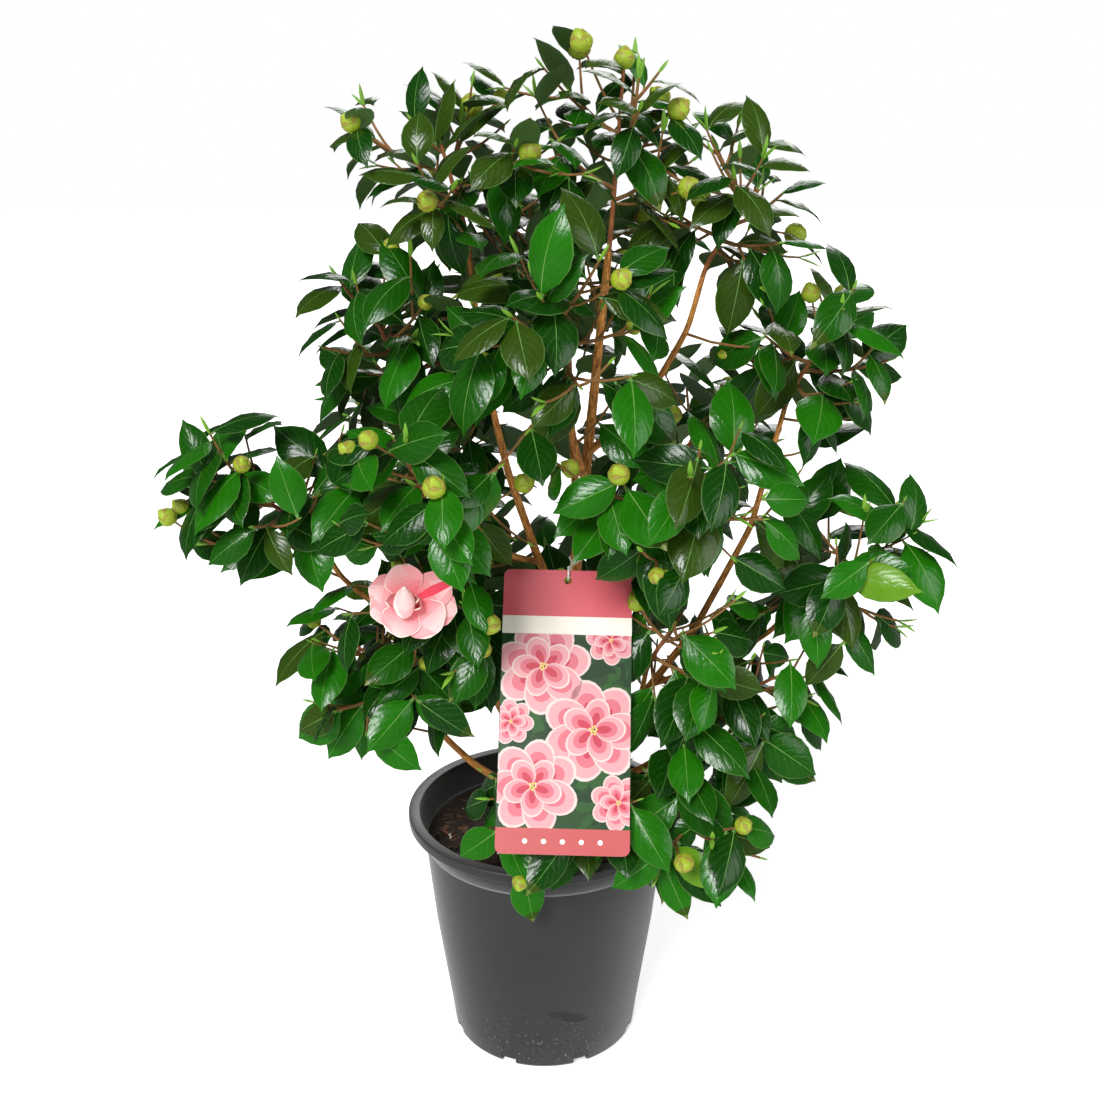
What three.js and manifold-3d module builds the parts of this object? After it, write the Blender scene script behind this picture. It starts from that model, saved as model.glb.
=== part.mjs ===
// A camellia shrub in a black nursery pot, with a picture label hung on its stem.
// Millimetres, +Z up, the shrub's front towards -Y. The origin is the centre of the pot's flat underside.
// Every limb and every mass of foliage is worked out by rule from one row of the CROWN table.

import * as THREE from "three";
import { mergeVertices } from "three/addons/utils/BufferGeometryUtils.js";
import Module from "manifold-3d";

const wasm = await Module();
wasm.setup();

// ---- Driving dimensions -------------------------------------------------------------------------

const CLEAR = 0.3; // gap left between neighbouring solids

const POT = {
  rimRadius: 130,
  height: 232,
  lipHeight: 10,
  lipWidth: 10.6,
  collarRadius: 121,
  collarHeight: 18,
  wallTopRadius: 115,
  baseRadius: 90,
  chamfer: 4,
  wall: 1.8,
  floor: 2.2,
  sides: 32,
  drains: 8,
  drainWidth: 15,
  drainHeight: 8,
};

const SOIL = { top: 206, edgeDrop: 4, crownRadius: 40 };

const TRUNK = {
  foot: new THREE.Vector3(6, 0, SOIL.top + CLEAR),
  middle: new THREE.Vector3(29, 0, 473),
  tip: new THREE.Vector3(55, 0, 752),
  flareRadius: 17,
  flareHeight: 26,
  baseRadius: 9.5,
  middleRadius: 5.2,
  tipRadius: 3.2,
  rings: 15,
  sides: 8,
};

const BOUGH = { baseRadius: 4.4, forkRadius: 3.2, tipRadius: 2.2, sides: 5, rings: 5 };

// The label leans back by its tilt and is turned in its own plane by its roll, in degrees.
const LABEL = {
  centre: new THREE.Vector3(18, -105, 380),
  width: 112,
  length: 243,
  thick: 1,
  corner: 6,
  holeRadius: 3.5,
  holeDrop: 9,
  tilt: 32.8,
  roll: -1.6,
};
const TIE = { radius: 0.9, slack: 0.4, front: 4, behind: 5, rise: 8 };

const BLOOM = {
  centre: new THREE.Vector3(-111, -116, 482),
  facing: new THREE.Vector3(-0.12, -0.93, 0.34).normalize(),
  radius: 34,
  heartShare: 0.36,
  neckShare: 0.62,
  stalkRadius: 1.7,
  from: "left_shoulder",
  at: 0.62,
};

// A leaf's width, widest place, thickness, fold and droop are shares of its length.
const LEAF = {
  length: 92,
  lengthSpread: 8,
  width: 0.56,
  widest: 0.42,
  thick: 0.03,
  fold: 0.2,
  droop: 0.2,
  sunk: 0.6,
  firstBack: 3.5,
  spacing: 6.6,
};
const TWIG = { stemRadius: 2.4, radius: 2, tipRadius: 1.7, shortest: 18, bare: 6, room: 1.2, step: 0.125 };
const BUD = { radius: 9.5, length: 22, sunk: 3 };
const STEM_PAST_CENTRE = 0.42; // how far a mass's stem runs on past its centre, as a share of the way there
const BOUGH_ENDS_AT = 0.6; // how deep in its mass's round a bough ends
const GROWTH_CURVE = 1.35; // sets the trunk's rings closer together near its foot

const GOLDEN_ANGLE = Math.PI * (3 - Math.sqrt(5));

// One row for each mass of foliage and the bough that carries it.
// x, y, z: the mass's centre. wide and tall: its half sizes.
// from and at: the limb its bough grows from, and how far up that limb. A mass with no bough crowns the trunk.
const CROWN = [
  { name: "crown_top", x: 62, y: 0, z: 854, wide: 88, tall: 82, from: "trunk", at: 1 },
  { name: "top_left", x: -78, y: 0, z: 815, wide: 120, tall: 96, from: "trunk", at: 0.5 },
  { name: "top_right", x: 166, y: 0, z: 782, wide: 84, tall: 104, from: "trunk", at: 0.76 },
  { name: "left_shoulder", x: -140, y: 10, z: 682, wide: 96, tall: 96, from: "trunk", at: 0.14 },
  { name: "left_arm", x: -246, y: -20, z: 540, wide: 114, tall: 90, from: "left_shoulder", at: 0.45 },
  { name: "right_shoulder", x: 240, y: 0, z: 672, wide: 94, tall: 104, from: "trunk", at: 0.17 },
  { name: "right_arm", x: 276, y: -20, z: 478, wide: 100, tall: 104, from: "right_shoulder", at: 0.35 },
  { name: "left_low", x: -152, y: -25, z: 390, wide: 102, tall: 100, from: "trunk", at: 0.1 },
  { name: "right_low", x: 190, y: -25, z: 362, wide: 98, tall: 100, from: "trunk", at: 0.12 },
  { name: "front_right_low", x: 140, y: -118, z: 272, wide: 84, tall: 84, from: "trunk", at: 0.07 },
  { name: "front_left", x: -88, y: -120, z: 572, wide: 104, tall: 100, from: "top_left", at: 0.25 },
  { name: "front_right", x: 112, y: -125, z: 566, wide: 106, tall: 104, from: "trunk", at: 0.655 },
  { name: "front_top", x: 10, y: -112, z: 706, wide: 104, tall: 98, from: "trunk", at: 0.73 },
  { name: "front_low", x: 0, y: -95, z: 288, wide: 84, tall: 62, from: "trunk", at: 0.16 },
  { name: "inner_left", x: -60, y: -50, z: 452, wide: 88, tall: 84, from: "left_shoulder", at: 0.28 },
  { name: "inner_right", x: 104, y: -75, z: 430, wide: 92, tall: 88, from: "right_shoulder", at: 0.22 },
  { name: "back_top", x: 20, y: 120, z: 740, wide: 124, tall: 108, from: "trunk", at: 0.65 },
  { name: "back_left", x: -120, y: 145, z: 572, wide: 128, tall: 122, from: "trunk", at: 0.2 },
  { name: "back_right", x: 148, y: 140, z: 560, wide: 132, tall: 122, from: "trunk", at: 0.23 },
  { name: "back_low", x: 15, y: 150, z: 390, wide: 140, tall: 108, from: "trunk", at: 0.13 },
];

const TWIGS_PER_MASS = 6;
const LEAVES_PER_TWIG = 5;
const LEAF_TRIES = 26; // turns tried for a leaf before it is left out
const BUD_SHARE = 0.3; // of twigs that end in a bud

// ---- Small helpers ------------------------------------------------------------------------------

const UP = new THREE.Vector3(0, 0, 1);
const vector = (x, y, z) => new THREE.Vector3(x, y, z);
const between = (a, b, t) => a.clone().lerp(b, t);
const degrees = THREE.MathUtils.degToRad;

// Numbers from 0 to 1 that are the same on every run.
function drawer(seed) {
  let state = seed >>> 0;
  return () => {
    state = (Math.imul(state, 1664525) + 1013904223) >>> 0;
    return state / 4294967296;
  };
}

// A unit vector square to `direction`, as near to `wanted` as it can be.
function squareTo(direction, wanted) {
  const side = wanted.clone().addScaledVector(direction, -wanted.dot(direction));
  if (side.length() < 1e-3) side.set(1, 0, 0).addScaledVector(direction, -direction.x);
  return side.normalize();
}

// The geometry with shared vertices, as a solid that manifold-3d can cut and join.
function toSolid(geometry) {
  const bare = geometry.clone();
  bare.deleteAttribute("normal");
  bare.deleteAttribute("uv");
  const merged = mergeVertices(bare, 1e-4);
  return new wasm.Manifold(
    new wasm.Mesh({
      numProp: 3,
      vertProperties: new Float32Array(merged.attributes.position.array),
      triVerts: new Uint32Array(merged.index.array),
    }),
  );
}

function toGeometry(solid) {
  const mesh = solid.getMesh();
  const positions = new Float32Array(mesh.numVert * 3);
  for (let i = 0; i < mesh.numVert; i++)
    positions.set(mesh.vertProperties.subarray(i * mesh.numProp, i * mesh.numProp + 3), i * 3);
  const geometry = new THREE.BufferGeometry();
  geometry.setAttribute("position", new THREE.BufferAttribute(positions, 3));
  geometry.setIndex(new THREE.BufferAttribute(new Uint32Array(mesh.triVerts), 1));
  geometry.computeVertexNormals();
  return geometry;
}

// The largest of a solid's separate bodies, with its sealed hollows filled.
function wholeBody(solid) {
  const bodies = solid.decompose();
  bodies.sort((a, b) => b.volume() - a.volume());
  return bodies[0];
}

// A closed mesh from points and triangles.
function mesh3(points, triangles) {
  const geometry = new THREE.BufferGeometry();
  geometry.setAttribute("position", new THREE.Float32BufferAttribute(points.flatMap((p) => p.toArray()), 3));
  geometry.setIndex(triangles.flat());
  return geometry;
}

// A tube of flat sides along a line of points, with its own radius at each, closed at both ends.
// A level foot is cut flat across, whatever way the tube leans.
function tube(line, radii, sides, levelFoot = false) {
  const points = [];
  const triangles = [];
  let side = squareTo(line[1].clone().sub(line[0]).normalize(), vector(1, 0.3, 0.2));
  line.forEach((centre, i) => {
    const before = line[Math.max(i - 1, 0)];
    const after = line[Math.min(i + 1, line.length - 1)];
    const along = i === 0 && levelFoot ? UP.clone() : after.clone().sub(before).normalize();
    side = squareTo(along, side);
    const other = along.clone().cross(side);
    for (let k = 0; k < sides; k++) {
      const turn = (2 * Math.PI * k) / sides;
      points.push(
        centre
          .clone()
          .addScaledVector(side, radii[i] * Math.cos(turn))
          .addScaledVector(other, radii[i] * Math.sin(turn)),
      );
    }
  });
  const last = (line.length - 1) * sides;
  for (let k = 0; k < sides; k++) {
    const next = (k + 1) % sides;
    for (let row = 0; row < last; row += sides) {
      triangles.push([row + k, row + next, row + sides + next]);
      triangles.push([row + k, row + sides + next, row + sides + k]);
    }
    if (k > 0 && k < sides - 1) {
      triangles.push([0, k + 1, k]);
      triangles.push([last, last + k, last + k + 1]);
    }
  }
  return mesh3(points, triangles);
}

// ---- The limbs ----------------------------------------------------------------------------------

const centreOf = (row) => vector(row.x, row.y, row.z);

// How deep a point lies in a mass's round: 0 at its centre, 1 at its skin.
function depthIn(row, point) {
  const offset = point.clone().sub(centreOf(row));
  return Math.hypot(offset.x / row.wide, offset.y / row.wide, offset.z / row.tall);
}

// A limb is a line of points with a radius at each.
function trunkLimb() {
  const bend = TRUNK.middle.clone().multiplyScalar(2).sub(between(TRUNK.foot, TRUNK.tip, 0.5));
  const curve = new THREE.QuadraticBezierCurve3(TRUNK.foot, bend, TRUNK.tip);
  const line = [];
  const radii = [];
  for (let i = 0; i < TRUNK.rings; i++) {
    const share = (i / (TRUNK.rings - 1)) ** GROWTH_CURVE;
    const point = curve.getPoint(share);
    const above = point.z - TRUNK.foot.z;
    const taper =
      share < 0.5
        ? THREE.MathUtils.lerp(TRUNK.baseRadius, TRUNK.middleRadius, share * 2)
        : THREE.MathUtils.lerp(TRUNK.middleRadius, TRUNK.tipRadius, share * 2 - 1);
    const flare = (TRUNK.flareRadius - TRUNK.baseRadius) * Math.max(0, 1 - above / TRUNK.flareHeight) ** 2;
    line.push(point);
    radii.push(taper + flare);
  }
  return { line, radii, sides: TRUNK.sides, levelFoot: true };
}

function pointOn(limb, share) {
  const place = share * (limb.line.length - 1);
  const i = Math.min(Math.floor(place), limb.line.length - 2);
  return between(limb.line[i], limb.line[i + 1], place - i);
}

function radiusOn(limb, share) {
  const place = share * (limb.line.length - 1);
  const i = Math.min(Math.floor(place), limb.line.length - 2);
  return THREE.MathUtils.lerp(limb.radii[i], limb.radii[i + 1], place - i);
}

// A bough leaves its parent outwards, then turns up, and ends where it enters its mass.
function boughLimb(row, parent) {
  const start = pointOn(parent, row.at);
  const centre = centreOf(row);
  const enter = BOUGH_ENDS_AT / depthIn(row, start);
  const end = between(centre, start, enter);
  const across = end.clone().sub(start).setZ(0);
  const rise = end.z - start.z;
  const leave = start.clone().addScaledVector(across, 0.42).addScaledVector(UP, rise * 0.2);
  const turn = start.clone().addScaledVector(across, 0.94).addScaledVector(UP, rise * 0.6);
  const curve = new THREE.CubicBezierCurve3(start, leave, turn, end);
  const thick = row.from === "trunk" ? BOUGH.baseRadius : BOUGH.forkRadius;
  const base = Math.min(thick, 0.8 * radiusOn(parent, row.at));
  const line = curve.getPoints(BOUGH.rings - 1);
  const radii = line.map((_, i) => THREE.MathUtils.lerp(base, BOUGH.tipRadius, i / (BOUGH.rings - 1)));
  return { line, radii, sides: BOUGH.sides };
}

// The flowering twig runs forward from its bough and up into the back of the bloom.
function flowerStalk(parent) {
  const { centre, facing, radius, stalkRadius } = BLOOM;
  const start = pointOn(parent, BLOOM.at);
  const neck = centre.clone().addScaledVector(facing, -radius * BLOOM.neckShare);
  const bend = neck.clone().addScaledVector(facing, -radius * 0.9);
  const line = new THREE.CubicBezierCurve3(start, between(start, bend, 0.5), bend, neck).getPoints(6);
  return { line, radii: line.map(() => stalkRadius), sides: 6 };
}

const limbs = { trunk: trunkLimb() };
for (const row of CROWN) if (row.at < 1) limbs[row.name] = boughLimb(row, limbs[row.from]);
limbs.flower = flowerStalk(limbs[BLOOM.from]);

const limbSolid = (limb, grown = 0) =>
  toSolid(
    tube(
      limb.line,
      limb.radii.map((r) => r + grown / Math.cos(Math.PI / limb.sides)),
      limb.sides,
      limb.levelFoot,
    ),
  );

// ---- What the foliage keeps clear of ------------------------------------------------------------

// Points along every limb, close together, with the radius there.
const limbPoints = Object.values(limbs).flatMap((limb) => {
  const steps = Math.ceil(limb.line[0].distanceTo(limb.line.at(-1)) / 4);
  return Array.from({ length: steps + 1 }, (_, i) => ({
    point: pointOn(limb, i / steps),
    radius: radiusOn(limb, i / steps),
  }));
});

const labelFrame = new THREE.Object3D();
labelFrame.position.copy(LABEL.centre);
labelFrame.rotation.set(degrees(90 - LABEL.tilt), 0, degrees(LABEL.roll), "XYZ");
labelFrame.updateMatrixWorld(true);
const intoLabel = labelFrame.matrixWorld.clone().invert();

function clearOfPot(point) {
  const radius = Math.hypot(point.x, point.y);
  if (radius > POT.rimRadius + 3) return point.z > 8;
  if (radius < POT.wallTopRadius - 6) return point.z > SOIL.top + 6;
  return point.z > POT.height + 3;
}

// Nothing grows through the label or before its face, apart from leaves that lap over its top edge.
function clearOfLabel(point) {
  const p = point.clone().applyMatrix4(intoLabel);
  if (Math.abs(p.x) > LABEL.width / 2 + 3 || Math.abs(p.y) > LABEL.length / 2 + 3) return true;
  return p.z < -4 || (p.y > LABEL.length / 2 - 26 && p.z > 6);
}

// Nor through the bloom or before it.
function clearOfBloom(point) {
  const offset = point.clone().sub(BLOOM.centre);
  const before = offset.dot(BLOOM.facing);
  const aside = Math.sqrt(Math.max(0, offset.lengthSq() - before * before));
  return before < -BLOOM.radius * 0.9 || aside > BLOOM.radius + 5;
}

// A mass's space is its round, as far as the flat borders with its neighbours' rounds.
const rounds = CROWN.map((row) => ({
  row,
  centre: centreOf(row),
  reach2: (row.wide * row.tall * row.wide) ** (2 / 3),
}));
const nearness = (round, point) => point.distanceToSquared(round.centre) - round.reach2;
const BORDER = 260; // square millimetres of nearness kept clear at a border

function inSpace(row, point, margin = 0) {
  if (depthIn(row, point) > 1 - margin) return false;
  const own = nearness(rounds.find((r) => r.row === row), point);
  return rounds.every((round) => round.row === row || own < nearness(round, point) - BORDER);
}

const clearOfThings = (point) => clearOfPot(point) && clearOfLabel(point) && clearOfBloom(point);

function twigFits(row, line, radius) {
  for (let i = 0; i < line.length - 1; i++)
    for (let t = 0; t <= 1; t += TWIG.step) {
      const point = between(line[i], line[i + 1], t);
      if (!inSpace(row, point, 0.04) || !clearOfThings(point)) return false;
      if (limbPoints.some((limb) => limb.point.distanceTo(point) < limb.radius + radius + TWIG.room)) return false;
    }
  return true;
}

// ---- Leaves, buds and twigs ---------------------------------------------------------------------

// A leaf's place: its root, the way its midrib sets out, its upper side and its length.
function leafPoint(leaf, along, across, lift) {
  const side = leaf.along.clone().cross(leaf.upper);
  return leaf.root
    .clone()
    .addScaledVector(leaf.along, leaf.length * along)
    .addScaledVector(side, leaf.length * across)
    .addScaledVector(leaf.upper, leaf.length * (lift - LEAF.droop * along * along));
}

// A pointed blade, its margins raised above the midrib, its root sunk in the twig.
function leafGeometry(leaf) {
  const half = LEAF.width / 2;
  const raised = LEAF.fold * half;
  const points = [
    leaf.root.clone().addScaledVector(leaf.along, -LEAF.sunk),
    leafPoint(leaf, LEAF.widest, half, raised),
    leafPoint(leaf, 1, 0, 0),
    leafPoint(leaf, LEAF.widest, -half, raised),
    leafPoint(leaf, LEAF.widest, 0, raised - LEAF.thick),
  ];
  return mesh3(points, [
    [0, 1, 3],
    [1, 2, 3],
    [1, 0, 4],
    [2, 1, 4],
    [3, 2, 4],
    [0, 3, 4],
  ]);
}

function leafFits(row, leaf) {
  const half = LEAF.width / 2;
  for (const along of [0.12, 0.25, 0.4, 0.55, 0.7, 0.85, 1])
    for (const across of [-0.9, -0.45, 0, 0.45, 0.9]) {
      const wide = half * (along < LEAF.widest ? along / LEAF.widest : (1 - along) / (1 - LEAF.widest));
      const point = leafPoint(leaf, along, across * wide, LEAF.fold * half * Math.abs(across));
      if (!inSpace(row, point) || !clearOfThings(point)) return false;
    }
  const side = leaf.along.clone().cross(leaf.upper);
  return !limbPoints.some((limb) => {
    const offset = limb.point.clone().sub(leaf.root);
    const along = offset.dot(leaf.along) / leaf.length;
    if (along < -0.1 || along > 1.1) return false;
    const surface = -LEAF.droop * leaf.length * along * along;
    const gap = Math.abs(offset.dot(leaf.upper) - surface);
    return gap < limb.radius + 7 && Math.abs(offset.dot(side)) < leaf.length * half + limb.radius + 2;
  });
}

// A leaf spreads from its twig, sinks towards the level, and hangs more the lower it grows.
function makeLeaf(twigWay, sideWay, root, outward, draw, size = 1) {
  const low = THREE.MathUtils.clamp((760 - root.z) / 460, 0, 1);
  const along = twigWay
    .clone()
    .multiplyScalar(0.45)
    .addScaledVector(sideWay, 0.8)
    .addScaledVector(outward, 0.45);
  along.z = along.z * 0.5 + 0.12 - 0.55 * low + 0.2 * (draw() - 0.5);
  along.normalize();
  const upper = squareTo(along, vector(outward.x * 0.5, outward.y * 0.5, 1));
  upper.applyAxisAngle(along, 0.9 * (draw() - 0.5));
  const length = (LEAF.length + LEAF.lengthSpread * (2 * draw() - 1)) * size;
  return { root, along, upper, length };
}

function budGeometry(foot, along) {
  const side = squareTo(along, UP);
  const other = along.clone().cross(side);
  const rings = [
    [0.3, 1],
    [0.66, 0.85],
  ];
  const sides = 4;
  const points = [foot.clone()];
  for (const [share, wide] of rings)
    for (let k = 0; k < sides; k++) {
      const turn = (2 * Math.PI * (k + share)) / sides;
      points.push(
        foot
          .clone()
          .addScaledVector(along, BUD.length * share)
          .addScaledVector(side, BUD.radius * wide * Math.cos(turn))
          .addScaledVector(other, BUD.radius * wide * Math.sin(turn)),
      );
    }
  points.push(foot.clone().addScaledVector(along, BUD.length));
  const tip = points.length - 1;
  const triangles = [];
  for (let k = 0; k < sides; k++) {
    const next = (k + 1) % sides;
    triangles.push([0, 1 + next, 1 + k]);
    triangles.push([1 + k, 1 + next, 1 + sides + next]);
    triangles.push([1 + k, 1 + sides + next, 1 + sides + k]);
    triangles.push([1 + sides + k, 1 + sides + next, tip]);
  }
  return mesh3(points, triangles);
}

// A mass's stem runs on from its bough's tip, through the middle of its round.
function stemOf(row) {
  const parent = limbs[row.name] ?? limbs.trunk;
  const tip = parent.line.at(-1);
  const way = tip.clone().sub(parent.line.at(-2)).normalize();
  const foot = tip.clone().addScaledVector(way, CLEAR);
  const centre = centreOf(row);
  const far = centre.clone().addScaledVector(centre.clone().sub(foot), STEM_PAST_CENTRE);
  const bend = foot.clone().addScaledVector(way, 0.35 * foot.distanceTo(centre));
  const curve = new THREE.CubicBezierCurve3(foot, bend, centre, far);
  const straight = foot.clone().addScaledVector(way, 4);
  return { curve, line: [foot, straight, ...curve.getPoints(3).slice(1)] };
}

// Twigs reach out from the stem to targets spread evenly over the mass's inner shell.
function twigsOf(row, index) {
  const draw = drawer(1000 + 77 * index);
  const { curve } = stemOf(row);
  const centre = centreOf(row);
  const twigs = [];
  for (let k = 0; k < TWIGS_PER_MASS; k++) {
    const height = 0.92 - (1.7 * (k + 0.5)) / TWIGS_PER_MASS + 0.12 * (draw() - 0.5);
    const turn = GOLDEN_ANGLE * k + index + 0.5 * (draw() - 0.5);
    const level = Math.sqrt(Math.max(0, 1 - height * height));
    const spread = vector(row.wide * level * Math.cos(turn), row.wide * level * Math.sin(turn), row.tall * height);
    const share = THREE.MathUtils.clamp(0.51 + 0.31 * height + 0.1 * (draw() - 0.5), 0.1, 0.86);
    const root = curve.getPoint(share);
    for (const reach of [0.62, 0.5, 0.38]) {
      const line = [root, centre.clone().addScaledVector(spread, reach)];
      if (root.distanceTo(line[1]) < TWIG.shortest || !twigFits(row, line, TWIG.radius)) continue;
      twigs.push(line);
      break;
    }
  }
  return twigs;
}

// Leaves stand round the outer part of a shoot, each turned until it lies clear of all that has grown.
function leavesOf(row, shoot, number, grown, draw) {
  const [foot, end] = shoot.line;
  const centre = centreOf(row);
  const way = end.clone().sub(foot).normalize();
  const aside = squareTo(way, UP);
  const blades = [];
  for (let i = 0; i < LEAVES_PER_TWIG; i++) {
    const up = foot.distanceTo(end) - LEAF.firstBack - LEAF.spacing * i;
    if (up < TWIG.bare) break;
    const root = foot.clone().addScaledVector(way, up);
    for (let attempt = 0; attempt < LEAF_TRIES; attempt++) {
      const turn = GOLDEN_ANGLE * i + number + attempt * 2.1 + 0.5 * (draw() - 0.5);
      const sideWay = aside.clone().applyAxisAngle(way, turn);
      const outward = root.clone().sub(centre).normalize();
      const leaf = makeLeaf(way, sideWay, root, outward, draw, 1 - 0.013 * attempt);
      if (!leafFits(row, leaf)) continue;
      const blade = toSolid(leafGeometry(leaf));
      if (![...grown, ...blades].every((other) => other === shoot.solid || blade.intersect(other).isEmpty())) continue;
      blades.push(blade);
      break;
    }
  }
  return blades;
}

function budOf(row, shoot) {
  const [foot, end] = shoot.line;
  const way = end.clone().sub(foot).normalize();
  const tip = end.clone().addScaledVector(way, BUD.length);
  const middle = end.clone().addScaledVector(way, BUD.length / 2);
  if (!inSpace(row, tip, 0.02) || !inSpace(row, middle, 0.08) || !clearOfThings(tip)) return [];
  return [toSolid(budGeometry(end.clone().addScaledVector(way, -BUD.sunk), way))];
}

function growFoliage(row, index) {
  const draw = drawer(5000 + 131 * index);
  const stem = stemOf(row);
  const last = stem.line.length - 1;
  const stemRadii = stem.line.map((_, i) => THREE.MathUtils.lerp(TWIG.stemRadius, TWIG.tipRadius, i / last));
  const stemSolid = toSolid(tube(stem.line, stemRadii, 3));
  const shoots = twigsOf(row, index).map((line) => ({
    line,
    solid: toSolid(tube(line, [TWIG.radius, TWIG.tipRadius], 3)),
  }));
  shoots.push({ line: stem.line.slice(-2), solid: stemSolid });
  const grown = shoots.map((shoot) => shoot.solid);
  shoots.forEach((shoot, number) => {
    const bud = draw() < BUD_SHARE ? budOf(row, shoot) : [];
    grown.push(...bud, ...leavesOf(row, shoot, number, [...grown, ...bud], draw));
  });
  return wholeBody(wasm.Manifold.union(grown));
}

// ---- The made pieces ----------------------------------------------------------------------------

// A profile of [radius, height] pairs turned round the pot's axis.
function turned(profile, sides) {
  const points = profile.map(([radius, height]) => new THREE.Vector2(radius, height));
  return new THREE.LatheGeometry(points, sides).rotateX(Math.PI / 2);
}

function potSolid() {
  const p = POT;
  const shoulder = p.height - p.lipHeight;
  const collarFoot = shoulder - p.collarHeight;
  const body = toSolid(
    turned(
      [
        [0, 0],
        [p.baseRadius - p.chamfer, 0],
        [p.baseRadius, p.chamfer],
        [p.wallTopRadius, collarFoot],
        [p.wallTopRadius + 2.5, collarFoot + 1],
        [p.collarRadius, shoulder - 1],
        [p.rimRadius, shoulder + 1.5],
        [p.rimRadius, p.height - 1.5],
        [p.rimRadius - 1.5, p.height],
        [p.rimRadius - p.lipWidth, p.height],
        [p.wallTopRadius - p.wall, collarFoot],
        [p.baseRadius - p.wall, p.floor + 2],
        [p.baseRadius - p.wall - 2, p.floor],
        [0, p.floor],
      ],
      p.sides,
    ),
  );
  const drains = Array.from({ length: p.drains }, (_, i) => {
    const slot = new THREE.BoxGeometry(p.drainWidth, 16, p.drainHeight);
    slot.translate(0, -(p.baseRadius - 4), p.drainHeight / 2 - 1);
    slot.rotateZ(((i + 0.5) * 2 * Math.PI) / p.drains);
    return toSolid(slot);
  });
  return body.subtract(wasm.Manifold.union(drains));
}

function soilSolid() {
  const p = POT;
  const collarFoot = p.height - p.lipHeight - p.collarHeight;
  const edge = SOIL.top - SOIL.edgeDrop;
  const gap = CLEAR + 0.2;
  const wallRadius = (z) =>
    THREE.MathUtils.mapLinear(z, p.floor + 2, collarFoot, p.baseRadius - p.wall, p.wallTopRadius - p.wall) - gap;
  return toSolid(
    turned(
      [
        [0, p.floor + CLEAR],
        [p.baseRadius - p.wall - 3, p.floor + CLEAR],
        [wallRadius(p.floor + 4), p.floor + 4],
        [wallRadius(edge), edge],
        [SOIL.crownRadius, SOIL.top],
        [0, SOIL.top],
      ],
      p.sides,
    ),
  );
}

function labelGeometry() {
  const { width, length, thick, corner, holeRadius, holeDrop } = LABEL;
  const [w, l] = [width / 2, length / 2];
  const outline = new THREE.Shape();
  outline.absarc(w - corner, l - corner, corner, 0, Math.PI / 2);
  outline.absarc(-w + corner, l - corner, corner, Math.PI / 2, Math.PI);
  outline.absarc(-w + corner, -l + corner, corner, Math.PI, 1.5 * Math.PI);
  outline.absarc(w - corner, -l + corner, corner, 1.5 * Math.PI, 2 * Math.PI);
  const hole = new THREE.Path();
  hole.absarc(0, l - holeDrop, holeRadius, 0, 2 * Math.PI, true);
  outline.holes.push(hole);
  return new THREE.ExtrudeGeometry(outline, { depth: thick, bevelEnabled: false, curveSegments: 4 }).translate(
    0,
    0,
    -thick / 2,
  );
}

// The tie runs round the trunk, through the label's hole and back over its top edge.
function tieGeometry() {
  const hole = vector(0, LABEL.length / 2 - LABEL.holeDrop, 0).applyMatrix4(labelFrame.matrixWorld);
  const face = vector(0, 0, 1).transformDirection(labelFrame.matrixWorld);
  const rise = vector(0, 1, 0).transformDirection(labelFrame.matrixWorld);
  const offLevel = (point) => Math.abs(point.z - hole.z - TIE.rise);
  const trunkPoints = limbPoints.slice(0, limbPoints.findIndex(({ point }) => point.equals(TRUNK.tip)) + 1);
  const stem = trunkPoints.map(({ point }) => point).sort((a, b) => offLevel(a) - offLevel(b))[0];
  const around = TRUNK.middleRadius + TIE.radius + CLEAR + TIE.slack;
  const seat = LABEL.holeRadius - TIE.radius - 2 * CLEAR;
  const level = (dx, dy, dz) => stem.clone().add(vector(dx, dy, dz));
  const atHole = (before, above) => hole.clone().addScaledVector(face, before).addScaledVector(rise, above);
  const loop = new THREE.CatmullRomCurve3(
    [
      level(-around, 0, -1),
      level(-around * 0.7, -around * 1.4, -2),
      atHole(-TIE.behind, seat - 0.6),
      atHole(0, seat),
      atHole(TIE.front, seat + 2),
      atHole(TIE.front, LABEL.holeDrop + 2),
      atHole(-TIE.behind, LABEL.holeDrop + 4),
      level(around * 0.7, -around * 1.4, 1),
      level(around, 0, 1),
      level(around * 0.7, around * 0.75, 1),
      level(0, around, 0),
      level(-around * 0.7, around * 0.75, -1),
    ],
    true,
  );
  return new THREE.TubeGeometry(loop, 28, TIE.radius, 4, true);
}

// A petal is a thin cupped blade from the bloom's heart.
function petalGeometry(turn, ring) {
  const { facing, centre, radius } = BLOOM;
  const side = squareTo(facing, UP).applyAxisAngle(facing, turn);
  const other = facing.clone().cross(side);
  const length = radius * ring.length;
  const at = (out, aside, front) =>
    centre
      .clone()
      .addScaledVector(facing, -radius * 0.32 + length * (ring.lift * out + front + ring.cup * out * out))
      .addScaledVector(side, length * out * ring.spread)
      .addScaledVector(other, length * aside);
  const rim = [
    at(0, 0.1, 0),
    at(0.55, 0.42, 0),
    at(0.92, 0.34, 0),
    at(1, 0, -0.02),
    at(0.92, -0.34, 0),
    at(0.55, -0.42, 0),
    at(0, -0.1, 0),
  ];
  const points = [...rim, at(0.6, 0, -0.06 + ring.thick), at(0.6, 0, -0.06 - ring.thick)];
  const [top, under] = [rim.length, rim.length + 1];
  return mesh3(
    points,
    rim.flatMap((_, i) => {
      const next = (i + 1) % rim.length;
      return [
        [next, i, top],
        [i, next, under],
      ];
    }),
  );
}

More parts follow.
